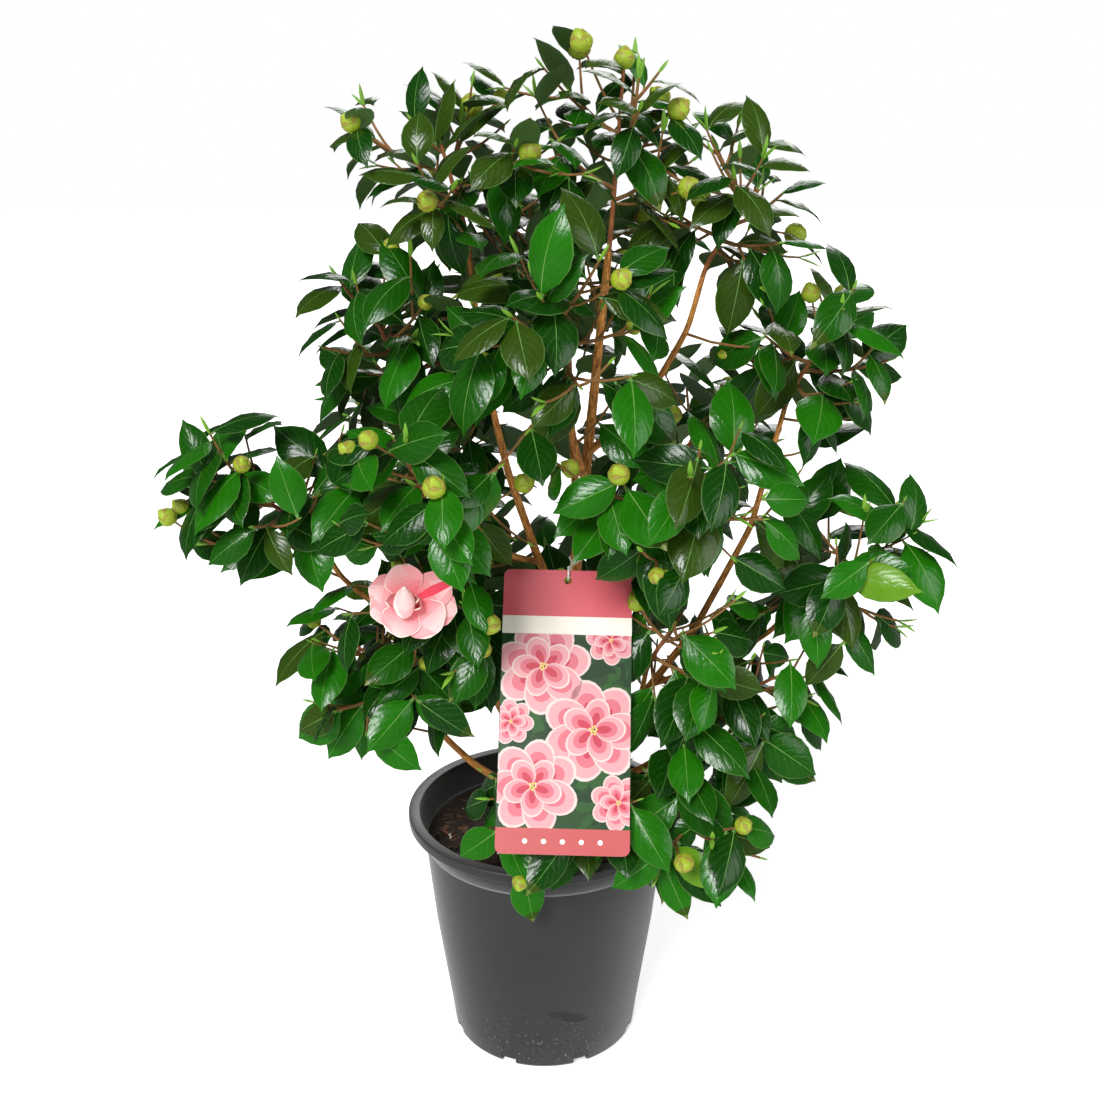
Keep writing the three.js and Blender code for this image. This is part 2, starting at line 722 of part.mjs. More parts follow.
const PETAL_RINGS = [
  { count: 5, length: 1, spread: 0.98, lift: 0.1, cup: 0.12, thick: 0.035, start: 0 },
  { count: 4, length: 0.82, spread: 0.86, lift: 0.36, cup: 0.2, thick: 0.035, start: 0.6 },
];

function bloomSolid() {
  const { facing, centre, radius } = BLOOM;
  const stalk = limbSolid(limbs.flower).subtract(limbSolid(limbs[BLOOM.from], CLEAR));
  const neck = limbs.flower.line.at(-1);
  const heart = new THREE.SphereGeometry(radius * BLOOM.heartShare, 7, 5);
  heart.scale(1, 1, 1.25);
  heart.applyQuaternion(new THREE.Quaternion().setFromUnitVectors(UP, facing));
  heart.translate(...centre.clone().addScaledVector(facing, radius * 0.02).toArray());
  const calyxLine = [
    neck.clone().addScaledVector(facing, -2),
    neck.clone().addScaledVector(facing, 8),
    centre.clone().addScaledVector(facing, -radius * 0.1),
  ];
  const calyx = tube(calyxLine, [4, 9, 11], 8);
  const petals = PETAL_RINGS.flatMap((ring) =>
    Array.from({ length: ring.count }, (_, i) =>
      toSolid(petalGeometry(ring.start + (2 * Math.PI * i) / ring.count, ring)),
    ),
  );
  return wholeBody(wasm.Manifold.union([wholeBody(stalk), toSolid(heart), toSolid(calyx), ...petals]));
}

// ---- Assembly -----------------------------------------------------------------------------------

const MATERIALS = {
  pot: { color: 0x2d2f31, roughness: 0.5 },
  soil: { color: 0x33231a, roughness: 0.95 },
  bark: { color: 0x9a6433, roughness: 0.75 },
  foliage: { color: 0x1f5a1c, roughness: 0.35 },
  petal: { color: 0xf2b3b8, roughness: 0.6 },
  label: { color: 0xf0838c, roughness: 0.35 },
  tie: { color: 0xe9e6df, roughness: 0.5 },
};

const shrub = new THREE.Group();

function place(name, geometry, look, parent = shrub) {
  const made = new THREE.Mesh(geometry, new THREE.MeshStandardMaterial({ metalness: 0, ...MATERIALS[look] }));
  made.name = name;
  parent.add(made);
  return made;
}

place("pot", toGeometry(potSolid()), "pot");
place("soil", toGeometry(soilSolid()), "soil");

place("trunk", toGeometry(limbSolid(limbs.trunk)), "bark");
for (const row of CROWN) {
  if (row.at === 1) continue;
  const solid = limbSolid(limbs[row.name]).subtract(limbSolid(limbs[row.from], CLEAR));
  place("bough_" + row.name, toGeometry(wholeBody(solid)), "bark");
}

CROWN.forEach((row, index) => place("foliage_" + row.name, toGeometry(growFoliage(row, index)), "foliage"));

place("flowering_twig", toGeometry(bloomSolid()), "petal");

shrub.add(labelFrame);
place("label", labelGeometry(), "label", labelFrame);
place("label_tie", toGeometry(toSolid(tieGeometry())), "tie");

export default shrub;
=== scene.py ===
"""A camellia shrub in a black nursery pot, with a picture label hung on its stem."""

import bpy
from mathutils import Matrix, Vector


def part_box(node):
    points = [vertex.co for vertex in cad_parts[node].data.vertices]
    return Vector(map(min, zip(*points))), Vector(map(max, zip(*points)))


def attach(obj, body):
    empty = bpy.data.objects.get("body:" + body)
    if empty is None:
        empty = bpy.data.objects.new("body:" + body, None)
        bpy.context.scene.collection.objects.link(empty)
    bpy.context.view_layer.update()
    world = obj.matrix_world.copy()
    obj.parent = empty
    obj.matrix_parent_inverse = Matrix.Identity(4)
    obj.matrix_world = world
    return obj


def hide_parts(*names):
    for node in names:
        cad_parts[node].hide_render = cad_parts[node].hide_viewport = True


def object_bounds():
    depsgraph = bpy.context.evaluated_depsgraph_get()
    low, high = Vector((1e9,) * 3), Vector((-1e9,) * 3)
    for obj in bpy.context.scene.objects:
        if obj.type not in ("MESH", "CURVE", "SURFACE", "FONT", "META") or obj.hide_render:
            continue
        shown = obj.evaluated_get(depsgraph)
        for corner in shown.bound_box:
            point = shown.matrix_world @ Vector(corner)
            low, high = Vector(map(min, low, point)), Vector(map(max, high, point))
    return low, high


bl_info = {
    "name": "Potted Camellia",
    "version": (1, 0, 0),
    "blender": (4, 5, 0),
    "location": "View3D > Sidebar > Camellia",
    "description": "Models a potted camellia shrub with its bloom, buds and hanging label",
    "category": "Add Mesh",
}

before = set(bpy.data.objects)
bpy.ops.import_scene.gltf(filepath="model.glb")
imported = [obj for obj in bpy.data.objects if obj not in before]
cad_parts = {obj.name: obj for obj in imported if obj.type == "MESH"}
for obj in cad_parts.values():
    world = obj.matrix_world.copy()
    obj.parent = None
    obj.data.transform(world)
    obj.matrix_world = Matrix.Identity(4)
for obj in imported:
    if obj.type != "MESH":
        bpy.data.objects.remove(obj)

import math

import bpy
import numpy as np
from mathutils import Matrix, Vector

CAD_LOW, CAD_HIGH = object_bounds()

MM = 0.001
BODY = "root"
GOLDEN_ANGLE = math.pi * (3 - math.sqrt(5))
FULL_TURN = 2 * math.pi
UP = np.array([0.0, 0.0, 1.0])

# ---- The shrub's measures, in millimetres --------------------------------------------------------

POT_RIM = 1000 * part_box("pot")[1].x
POT_HEIGHT = 1000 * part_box("pot")[1].z
POT_LIP_HEIGHT = 10
POT_LIP_WIDTH = 10.6
POT_COLLAR = 121
POT_COLLAR_HEIGHT = 18
POT_WALL_TOP = 115
POT_BASE = 90
POT_CHAMFER = 4
POT_WALL = 1.8
POT_FLOOR = 2.2
POT_COLLAR_FOOT = 204
POT_DRAINS = 8
DRAIN_WIDTH = 15
DRAIN_HEIGHT = 8
DRAIN_DEPTH = 16

SOIL_TOP = 1000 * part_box("soil")[1].z
CLEAR = 0.3

TRUNK_FOOT = np.array([6, 0, SOIL_TOP + CLEAR])
TRUNK_MIDDLE = np.array([29, 0, 473])
TRUNK_TIP = np.array([55, 0, 752])
TRUNK_BASE_RADIUS = 9.5
TRUNK_MIDDLE_RADIUS = 5.2
TRUNK_TIP_RADIUS = 3.2
TRUNK_FLARE_RADIUS = 17
TRUNK_FLARE_HEIGHT = 26
BOUGH_BASE_RADIUS = 4.4
BOUGH_FORK_RADIUS = 3.2
BOUGH_TIP_RADIUS = 2.2
BOUGH_OF_PARENT = 0.8  # a bough is at most this share of the radius that it grows from
BOUGH_END = 0.6  # how deep in its mass's round a bough ends: 0 is the centre, 1 the skin
BOUGH_LEAVES = (0.42, 0.2)  # the inner corners of a bough's curve, as shares of its way across and up
BOUGH_ARRIVES = (0.94, 0.6)
TRUNK_CROWDING = 1.35  # how much closer the trunk's rings stand towards its foot

LABEL_WIDTH = 112
LABEL_LENGTH = 243
LABEL_CENTRE = np.array([18, -105, 380])
LABEL_TILT = math.radians(90 - 32.8)
LABEL_ROLL = math.radians(-1.6)
LABEL_HOLE_DROP = 9

BLOOM_CENTRE = np.array([-111, -116, 482])
BLOOM_FACING = np.array([-0.12, -0.93, 0.34])
BLOOM_RADIUS = 34
BLOOM_BOUGH = "left_shoulder"
BLOOM_AT = 0.62
BLOOM_STALK_RADIUS = 1.7
BLOOM_NECK, BLOOM_BEND = 0.62, 0.9  # how far behind the bloom its stalk ends and bends, in its radii

# One row for each mass of foliage: its name, the x, y and z of its centre, its half width and half height,
# the limb that its bough grows from, and how far up that limb.
CROWN = [
    ("crown_top", 62, 0, 854, 88, 82, "trunk", 1),
    ("top_left", -78, 0, 815, 120, 96, "trunk", 0.5),
    ("top_right", 166, 0, 782, 84, 104, "trunk", 0.76),
    ("left_shoulder", -140, 10, 682, 96, 96, "trunk", 0.14),
    ("left_arm", -246, -20, 540, 114, 90, "left_shoulder", 0.45),
    ("right_shoulder", 240, 0, 672, 94, 104, "trunk", 0.17),
    ("right_arm", 276, -20, 478, 100, 104, "right_shoulder", 0.35),
    ("left_low", -152, -25, 390, 102, 100, "trunk", 0.1),
    ("right_low", 190, -25, 362, 98, 100, "trunk", 0.12),
    ("front_right_low", 140, -118, 272, 84, 84, "trunk", 0.07),
    ("front_left", -88, -120, 572, 104, 100, "top_left", 0.25),
    ("front_right", 112, -125, 566, 106, 104, "trunk", 0.655),
    ("front_top", 10, -112, 706, 104, 98, "trunk", 0.73),
    ("front_low", 0, -95, 288, 84, 62, "trunk", 0.16),
    ("inner_left", -60, -50, 452, 88, 84, "left_shoulder", 0.28),
    ("inner_right", 104, -75, 430, 92, 88, "right_shoulder", 0.22),
    ("back_top", 20, 120, 740, 124, 108, "trunk", 0.65),
    ("back_left", -120, 145, 572, 128, 122, "trunk", 0.2),
    ("back_right", 148, 140, 560, 132, 122, "trunk", 0.23),
    ("back_low", 15, 150, 390, 140, 108, "trunk", 0.13),
]
NAMES = [row[0] for row in CROWN]
CENTRES = np.array([row[1:4] for row in CROWN], float)
HALF_SIZES = np.array([[row[4], row[4], row[5]] for row in CROWN], float)
REACH2 = np.prod(HALF_SIZES, axis=1) ** (2 / 3)  # each mass's mean reach, squared
BORDER = 260  # what neighbouring masses leave free between them, in square millimetres
SKIRTED = NAMES.index("front_low")
SKIRT = 2.0  # how much further down this mass's leaves reach, over the pot's rim
# The sprays that stand apart from their mass's round: their shift, and their share of its size.
SPRAYS = {
    "crown_top": ((-20, 0, 6), 0.95),
    "top_left": ((8, 0, 22), 0.97),
    "top_right": ((-5, 0, 12), 0.95),
    "left_shoulder": ((12, 0, 4), 0.93),
    "left_arm": ((0, 0, 14), 0.92),
    "right_shoulder": ((-12, 0, 0), 0.92),
    "right_arm": ((0, 0, 6), 0.92),
    "left_low": ((6, 0, -8), 0.98),
    "right_low": ((-4, 0, -8), 0.96),
    "front_right_low": ((-6, 0, 4), 0.95),
    "inner_right": ((0, 0, 0), 0.94),
    "back_right": ((-20, 0, 0), 0.88),
    "back_left": ((8, 0, 0), 0.94),
}
SPRAY_CENTRES = CENTRES + [SPRAYS.get(name, ((0, 0, 0), 1))[0] for name in NAMES]
SPRAY_SIZES = HALF_SIZES * [[SPRAYS.get(name, ((0, 0, 0), 1))[1]] for name in NAMES]
MELT = 5  # the lower, the further the masses' rounds melt into one another in the crown's outline


# ---- Vectors and draws ---------------------------------------------------------------------------


class Draws:
    """Numbers from 0 to 1 that are the same on every run."""

    def __init__(self, seed):
        self.state = seed & 0xFFFFFFFF

    def __call__(self):
        self.state = (self.state * 1664525 + 1013904223) & 0xFFFFFFFF
        return self.state / 4294967296

    def spread(self, low, high):
        return low + (high - low) * self()


def unit(v):
    return v / np.linalg.norm(v)


def square_to(direction, wanted):
    """A unit vector square to direction, as near to wanted as it can be."""
    side = wanted - direction * wanted.dot(direction)
    if np.linalg.norm(side) < 1e-3:
        side = np.array([1.0, 0, 0]) - direction * direction[0]
    return unit(side)


def turned(v, axis, angle):
    """v turned about a unit axis."""
    c, s = math.cos(angle), math.sin(angle)
    return v * c + np.cross(axis, v) * s + axis * axis.dot(v) * (1 - c)


def mix(a, b, t):
    return a + (b - a) * t


def share_below(value, start, reach):
    """0 down to a start, then evenly up to 1 where the value is lower than that by its reach."""
    return min(max((start - value) / reach, 0), 1)


def run_of(line):
    """How far along a line each of its points lies."""
    return np.concatenate([[0], np.cumsum(np.linalg.norm(np.diff(line, axis=0), axis=1))])


def line_length(line):
    return float(np.linalg.norm(np.diff(line, axis=0), axis=1).sum())


def bezier(a, b, c, d, steps):
    t = np.linspace(0, 1, steps + 1)[:, None]
    return (1 - t) ** 3 * a + 3 * (1 - t) ** 2 * t * b + 3 * (1 - t) * t**2 * c + t**3 * d


# ---- The limbs, by the same rule as the solids ---------------------------------------------------


class Limb:
    """A line of points with a radius at each."""

    def __init__(self, line, radii):
        self.line = np.asarray(line, float)
        self.radii = np.asarray(radii, float)

    def at(self, share):
        place = share * (len(self.line) - 1)
        i = min(int(place), len(self.line) - 2)
        return mix(self.line[i], self.line[i + 1], place - i)

    def radius(self, share):
        return float(np.interp(share * (len(self.radii) - 1), range(len(self.radii)), self.radii))

    def samples(self, spacing=4):
        steps = math.ceil(np.linalg.norm(self.line[-1] - self.line[0]) / spacing)
        shares = [i / steps for i in range(steps + 1)]
        return [self.at(s) for s in shares], [self.radius(s) for s in shares]


def trunk_limb(rings=15):
    bend = 2 * TRUNK_MIDDLE - (TRUNK_FOOT + TRUNK_TIP) / 2
    line, radii = [], []
    for i in range(rings):
        s = (i / (rings - 1)) ** TRUNK_CROWDING
        point = (1 - s) ** 2 * TRUNK_FOOT + 2 * (1 - s) * s * bend + s**2 * TRUNK_TIP
        if s < 0.5:
            taper = mix(TRUNK_BASE_RADIUS, TRUNK_MIDDLE_RADIUS, s * 2)
        else:
            taper = mix(TRUNK_MIDDLE_RADIUS, TRUNK_TIP_RADIUS, s * 2 - 1)
        above = max(0, 1 - (point[2] - TRUNK_FOOT[2]) / TRUNK_FLARE_HEIGHT)
        line.append(point)
        radii.append(taper + (TRUNK_FLARE_RADIUS - TRUNK_BASE_RADIUS) * above**2)
    return Limb(line, radii)


def depth_in(index, points):
    """How deep points lie in a mass's round: 0 at its centre, 1 at its skin."""
    return np.linalg.norm((np.atleast_2d(points) - CENTRES[index]) / HALF_SIZES[index], axis=1)


def bough_limb(index, limbs, rings=5):
    """A bough leaves its parent outwards, then turns up, and ends where it enters its mass."""
    parent, share = CROWN[index][6:8]
    start = limbs[parent].at(share)
    end = mix(CENTRES[index], start, BOUGH_END / depth_in(index, start)[0])
    across = (end - start) * [1, 1, 0]
    rise = (end - start) * [0, 0, 1]
    bends = [start + across * far + rise * up for far, up in (BOUGH_LEAVES, BOUGH_ARRIVES)]
    thick = BOUGH_BASE_RADIUS if parent == "trunk" else BOUGH_FORK_RADIUS
    base = min(thick, BOUGH_OF_PARENT * limbs[parent].radius(share))
    return Limb(bezier(start, *bends, end, rings - 1), np.linspace(base, BOUGH_TIP_RADIUS, rings))


def flower_stalk(parent):
    """The flowering twig runs forward from its bough and up into the back of the bloom."""
    facing = unit(BLOOM_FACING)
    start = parent.at(BLOOM_AT)
    neck = BLOOM_CENTRE - facing * BLOOM_RADIUS * BLOOM_NECK
    bend = neck - facing * BLOOM_RADIUS * BLOOM_BEND
    return Limb(bezier(start, mix(start, bend, 0.5), bend, neck, 6), [BLOOM_STALK_RADIUS] * 7)


def grow_limbs():
    limbs = {"trunk": trunk_limb()}
    for index, row in enumerate(CROWN):
        if row[7] < 1:
            limbs[row[0]] = bough_limb(index, limbs)
    limbs["flower"] = flower_stalk(limbs[BLOOM_BOUGH])
    return limbs


LIMBS = grow_limbs()
_samples = [limb.samples() for limb in LIMBS.values()]
LIMB_POINTS = np.array([p for points, _ in _samples for p in points])
LIMB_RADII = np.array([r for _, radii in _samples for r in radii])

# ---- What the foliage keeps clear of -------------------------------------------------------------

POT_ROOM = 3
SOIL_ROOM = 6
GROUND_ROOM = 8
LABEL_ROOM = 3
LABEL_BACK_ROOM, LABEL_FRONT_ROOM = 4, 6
LABEL_OVERHUNG = 26  # how much of the label's top leaves may hang over
BLOOM_ROOM = 5
BLOOM_DEPTH = 0.9  # as a share of its radius
OWN_LIMB = 9  # the part of the limbs this near to a leaf's root is the one that it grows on

LABEL_TURN = Matrix.Rotation(LABEL_TILT, 4, "X") @ Matrix.Rotation(LABEL_ROLL, 4, "Z")
LABEL_PLACE = Matrix.Translation(Vector(LABEL_CENTRE)) @ LABEL_TURN
INTO_LABEL = np.array(LABEL_PLACE.inverted())


def clear_of_pot(p):
    radius = np.hypot(p[:, 0], p[:, 1])
    inside = radius < POT_WALL_TOP - SOIL_ROOM
    outside = radius > POT_RIM + POT_ROOM
    floor = np.where(outside, GROUND_ROOM, np.where(inside, SOIL_TOP + SOIL_ROOM, POT_HEIGHT + POT_ROOM))
    return np.all(p[:, 2] > floor)


def clear_of_label(p):
    """Nothing grows through the label or before its face, apart from leaves over its top edge."""
    q = p @ INTO_LABEL[:3, :3].T + INTO_LABEL[:3, 3]
    x, y, z = q.T
    beside = (np.abs(x) > LABEL_WIDTH / 2 + LABEL_ROOM) | (np.abs(y) > LABEL_LENGTH / 2 + LABEL_ROOM)
    over_top = (y > LABEL_LENGTH / 2 - LABEL_OVERHUNG) & (z > LABEL_FRONT_ROOM)
    return np.all(beside | (z < -LABEL_BACK_ROOM) | over_top)


def clear_of_bloom(p):
    offset = p - BLOOM_CENTRE
    before = offset @ unit(BLOOM_FACING)
    aside = np.sqrt(np.maximum(0, (offset**2).sum(axis=1) - before**2))
    return np.all((before < -BLOOM_RADIUS * BLOOM_DEPTH) | (aside > BLOOM_RADIUS + BLOOM_ROOM))


def clear_of_things(p):
    return clear_of_pot(p) and clear_of_label(p) and clear_of_bloom(p)


def in_space(index, p, margin=0.0):
    """Inside one mass's round, as far as its flat borders with its neighbours."""
    if np.any(depth_in(index, p) > 1 - margin):
        return False
    nearness = ((p[:, None, :] - CENTRES[None]) ** 2).sum(axis=2) - REACH2
    own = nearness[:, index].copy()
    nearness[:, index] = np.inf
    return bool(np.all(own[:, None] < nearness - BORDER))


def in_crown(p, grown=1.0):
    """Inside the crown's outline: the rounds of all the masses, melted together where they meet."""
    away = (p[:, None, :] - SPRAY_CENTRES[None]) / SPRAY_SIZES[None]
    away[:, SKIRTED, 2] /= np.where(away[:, SKIRTED, 2] < 0, SKIRT, 1)
    depth = np.linalg.norm(away, axis=2)
    return bool(np.all(-np.log(np.exp(-MELT * depth).sum(axis=1)) / MELT < grown))


def limb_gaps(p):
    """How far each point is from each place along the limbs."""
    return np.linalg.norm(p[:, None, :] - LIMB_POINTS[None], axis=2) - LIMB_RADII


def clear_of_limbs(p, room, but_near=None):
    gap = limb_gaps(p)
    if but_near is not None:
        gap[:, np.linalg.norm(LIMB_POINTS - but_near, axis=1) < OWN_LIMB] = np.inf
    return gap.min() > room


# ---- How the foliage grows -----------------------------------------------------------------------

TWIG_SEED, GROWTH_SEED, SHOOT_SEED, LEAF_SEED = 1000, 5000, 7001, 9000
STEM_SETS_OUT = 0.35  # how far a mass's stem keeps the way of its bough
STEM_PAST_CENTRE = 0.42
STEM_RADII = (2.4, 1.5)
TWIGS_PER_MASS = 6
TWIG_RADIUS = 2.0
TWIG_TIP_RADIUS = 1.1
TWIG_SHORTEST = 18
TWIG_HIGHEST, TWIG_BAND = 0.92, 1.7  # the twigs' targets, as shares of the mass's half height
TWIG_REACHES = (0.62, 0.5, 0.38)  # how far out the targets lie, tried by turns
TWIG_INSET = 0.04  # how far within its mass's round a twig stays
TWIG_ROOM = 1.2  # and how clear of the limbs, past its own radius
BUD_SHARE = 0.3
BUD_REACH = 20  # what a flower bud needs of the crown's room
SIDE_SHOOTS = (0.3, 0.52, 0.72, 0.9)  # where the finer twigs leave a twig, as shares of its length
SIDE_SHOOT_LENGTH = (34, 66)
SIDE_SHOOT_RADII = (1.35, 0.9)
SIDE_SHOOT_TRIES = 6
SIDE_SHOOT_TURN_ON = 1.3  # from one try to the next
SIDE_SHOOT_ROOM = 3
AHEAD, ASIDE, OUTWARDS, UPWARDS = 0.55, 0.85, 0.5, 0.15  # what draws a side shoot which way
BOUGH_SHOOT_SPACING = 33  # between the shoots that leave a bough or the trunk below its masses
BOUGH_SHOOT_LENGTH = (40, 90)
LOWEST_BOUGH_SHOOT = 300
TWIG_STEPS = 9  # places along a twig where its room is tested
LEAF_BACK = (1.5, 8, 17, 29, 44, 62)  # how far back from a shoot's tip its leaves stand
LEAF_TRIES = 8
LEAF_TURN_ON = 1.9  # from one try to the next
LEAF_FREE_OF_LIMBS = 2
NEIGHBOUR_REACH = 78  # leaves further apart than this can't touch
LEAF_LAYER = 4.5  # leaves closer than this, measured square to their blades,
LEAF_ASIDE = 14.5  # have to be this far apart along them
MAY_HIDE_SHARE = 0.04  # of the shoots may have leaves before a stem that shows
TOP_FROM = 760  # the height from which leaves are smaller and buds larger
TOP_LEAVES = (0.8, 0.92)  # how much smaller: a shoot's first two, and the rest
YOUNG_FROM = 720  # the height from which every tip without a flower bud has a leaf bud
YOUNG_SHARE = 0.3  # of the tips below that
BUD_SIZES = (0.68, 0.95)
YOUNG_SIZES = (0.7, 1.5)
LAST_YOUNG_SIZES = (0.45, 0.75)  # on the tips that are still bare at the end
LEAF_LEANS = (810, 210)  # leaves start to hang at this height, and hang in full this much lower
LOW_LEAVES = (480, 100)  # and so do these, also where they don't face the front
LIT_BEFORE = 70  # the leaves before this turn their faces towards the light
LEAF_SIZES = (0.82, 1.14)
LEAF_WIDTHS = (0.47, 0.6)
OUTLINE_ROOM = 0.91  # how near to the crown's outline a leaf's blade may reach
TIP_ROOM = 1.05  # and how far its tip may stand out
CROWN_AXIS = np.array([30, 30, 0])
LIGHT_SIDE = np.array([0, -0.75, 0.1])  # the shrub's front has grown towards the light
# The stems that show between the leaves, and the share of each that does, as seen from the front.
SHOWN_STEMS = {"trunk": (0.45, 0.98), "top_left": (0.03, 0.6), "right_shoulder": (0.35, 0.98)}
SEEN_FROM = np.array([0, -1119, 845])
SHOWN_ROOM = 10
SHOWN_FROM = 8  # how far before a stem a leaf starts to hide it
BOX_ROOM = np.array([14, 8, 14])  # how far leaves may reach past the solids' box
BOX_LOW = np.array(CAD_LOW) / MM - BOX_ROOM
BOX_HIGH = np.array(CAD_HIGH) / MM + BOX_ROOM


class Shoot:
    """A stem, twig or side shoot: its line, its thickness at each end and the mass that it belongs to."""

    def __init__(self, line, thick, thin, mass, order):
        self.limb = Limb(line, np.linspace(thick, thin, len(line)))
        self.mass = mass
        self.order = order

    @property
    def way(self):
        return unit(self.limb.line[-1] - self.limb.line[-2])

    @property
    def tip(self):
        return self.limb.line[-1]


class Leaf:
    """A leaf: its root, the way its midrib sets out, its upper side, and its sizes."""

    def __init__(self, root, along, upper, length, width, droop, mass):
        self.root, self.along, self.upper = root, along, upper
        self.length, self.width, self.droop, self.mass = length, width, droop, mass
        self.side = np.cross(along, upper)

    def points(self, along, across, lift=0.0):
        """Points on the leaf, from shares of its length along, across and above the flat."""
        along, across = np.broadcast_arrays(np.asarray(along, float), np.asarray(across, float))
        arch = self.droop * along**2 + 0.5 * np.maximum(0, along - 0.72) ** 2
        forward = along - 0.5 * self.droop**2 * along**3
        hang = np.asarray(lift) - arch
        return self.root + self.length * (
            forward[..., None] * self.along + across[..., None] * self.side + hang[..., None] * self.upper
        )

    def test_points(self):
        along = np.array([0.3, 0.3, 0.3, 0.55, 0.55, 0.55, 0.8, 0.8, 1.0])
        across = np.array([-0.8, 0, 0.8, -0.85, 0, 0.85, -0.45, 0.45, 0]) * self.width / 2
        return self.points(along, across)


def mass_stem(index):
    """The four corners of the curve that a mass's stem follows on from its bough's tip."""
    parent = LIMBS.get(NAMES[index], LIMBS["trunk"])
    tip = parent.line[-1]
    way = unit(tip - parent.line[-2])
    foot = tip + way * CLEAR
    centre = CENTRES[index]
    bend = foot + way * STEM_SETS_OUT * np.linalg.norm(centre - foot)
    return foot, bend, centre, centre + (centre - foot) * STEM_PAST_CENTRE


def twig_fits(index, root, target):
    steps = np.linspace(0, 1, TWIG_STEPS)[:, None]
    line = root + (target - root) * steps
    if not in_space(index, line, TWIG_INSET) or not clear_of_things(line):
        return False
    return limb_gaps(line).min() >= TWIG_RADIUS + TWIG_ROOM


def mass_twigs(index):
    """Twigs reach out from the stem to targets spread evenly over the mass's inner shell."""
    draw = Draws(TWIG_SEED + 77 * index)
    corners = mass_stem(index)
    centre, half = CENTRES[index], HALF_SIZES[index]
    twigs = []
    for k in range(TWIGS_PER_MASS):
        height = TWIG_HIGHEST - (TWIG_BAND * (k + 0.5)) / TWIGS_PER_MASS + 0.12 * (draw() - 0.5)
        turn = GOLDEN_ANGLE * k + index + 0.5 * (draw() - 0.5)
        level = math.sqrt(max(0, 1 - height * height))
        spread = half * [level * math.cos(turn), level * math.sin(turn), height]
        share = min(max(0.51 + 0.31 * height + 0.1 * (draw() - 0.5), 0.1), 0.86)
        t = np.array([(1 - share) ** 3, 3 * (1 - share) ** 2 * share, 3 * (1 - share) * share**2, share**3])
        root = t @ np.array(corners)
        for reach in TWIG_REACHES:
            target = centre + spread * reach
            if np.linalg.norm(target - root) >= TWIG_SHORTEST and twig_fits(index, root, target):
                twigs.append((root, target))
                break
    return twigs


def bent_shoot(root, target, thick, thin, mass, order, lift=0.1):
    """A shoot that leaves low and turns up towards its end."""
    rise = UP * lift * np.linalg.norm(target - root)
    line = bezier(root, mix(root, target, 0.35) - rise, mix(root, target, 0.7) - rise * 0.6, target, 4)
    return Shoot(line, thick, thin, mass, order)


def side_shoots(parent, draw, shares=SIDE_SHOOTS, lengths=SIDE_SHOOT_LENGTH, room=0.86):
    """Finer twigs that leave a limb by turns on either hand, and keep within the crown."""
    made = []
    aside = square_to(parent.way, UP)
    for k, share in enumerate(shares):
        root = parent.limb.at(share)
        for attempt in range(SIDE_SHOOT_TRIES):
            turn = GOLDEN_ANGLE * (k + 1) + draw.spread(-0.6, 0.6) + attempt * SIDE_SHOOT_TURN_ON
            out = unit(root - CENTRES[parent.mass] + 1e-3)
            hand = turned(aside, parent.way, turn)
            way = unit(parent.way * AHEAD + hand * ASIDE + out * OUTWARDS + UP * UPWARDS)
            target = root + way * draw.spread(*lengths)
            line = root + (target - root) * np.linspace(0.25, 1.2, 5)[:, None]
            if in_crown(line, room) and clear_of_things(line) and clear_of_limbs(line, SIDE_SHOOT_ROOM):
                made.append(bent_shoot(root, target, *SIDE_SHOOT_RADII, parent.mass, 2))
                break
    return made


def bough_shoots(name, draw):
    """Shoots along a bough, or along the trunk, that fill the crown between its masses."""
    limb = LIMBS[name]
    made = []
    for share in np.arange(0.2, 0.99, BOUGH_SHOOT_SPACING / line_length(limb.line)):
        root, ahead = limb.at(share), limb.at(min(1, share + 0.05))
        if root[2] <= LOWEST_BOUGH_SHOOT:
            continue
        mass = int(np.argmin(np.linalg.norm((root - CENTRES) / HALF_SIZES, axis=1)))
        parent = Shoot([root, ahead], TWIG_RADIUS, TWIG_RADIUS, mass, 1)
        made += side_shoots(parent, draw, (0.0,), BOUGH_SHOOT_LENGTH, 0.94)
    return made


def set_leaf(shoot, root, side_way, size, draw):
    """High leaves rise and arch over; lower down they hang more, and turn their faces outwards."""
    from_axis = unit((root - CROWN_AXIS) * [1, 1, 0] + 1e-3)
    out = unit(unit(root - CENTRES[shoot.mass] + 1e-3) * 0.6 + from_axis)
    ahead = max(0, -out[1])
    low = share_below(root[2], *LEAF_LEANS) * (0.3 + 0.7 * ahead)
    low = min(1, low + 0.35 * share_below(root[2], *LOW_LEAVES))
    facing = out + LIGHT_SIDE * (root[1] < LIT_BEFORE)
    along = shoot.way * (0.6 - 0.3 * low) + side_way * 0.85 + out * (0.35 - 0.15 * low)
    towards = max(0, -unit(along)[1])
    along[2] = along[2] * (0.8 - 0.4 * low) + 0.3 - 0.9 * low + draw.spread(-0.18, 0.18)
    along[2] -= 0.75 * towards * (1 - low)
    along = unit(along)
    upper = square_to(along, facing * (0.14 + 0.85 * low) + UP * (1 - 0.5 * low))
    upper = turned(upper, along, draw.spread(-0.4, 0.4))
    droop = draw.spread(0.32, 0.72) * (1 - 0.7 * low)
    return Leaf(root, along, upper, size, draw.spread(*LEAF_WIDTHS), droop, shoot.mass)


def shown_stem_points():
    """Places along the stems that show, and the way from each to where they are seen from."""
    places = []
    for name, (low, high) in SHOWN_STEMS.items():
        places += [LIMBS[name].at(share) for share in np.linspace(low, high, 40)]
    places = np.array(places)
    ways = SEEN_FROM - places
    return places, ways / np.linalg.norm(ways, axis=1)[:, None]


STEM_PLACES, STEM_WAYS = shown_stem_points()


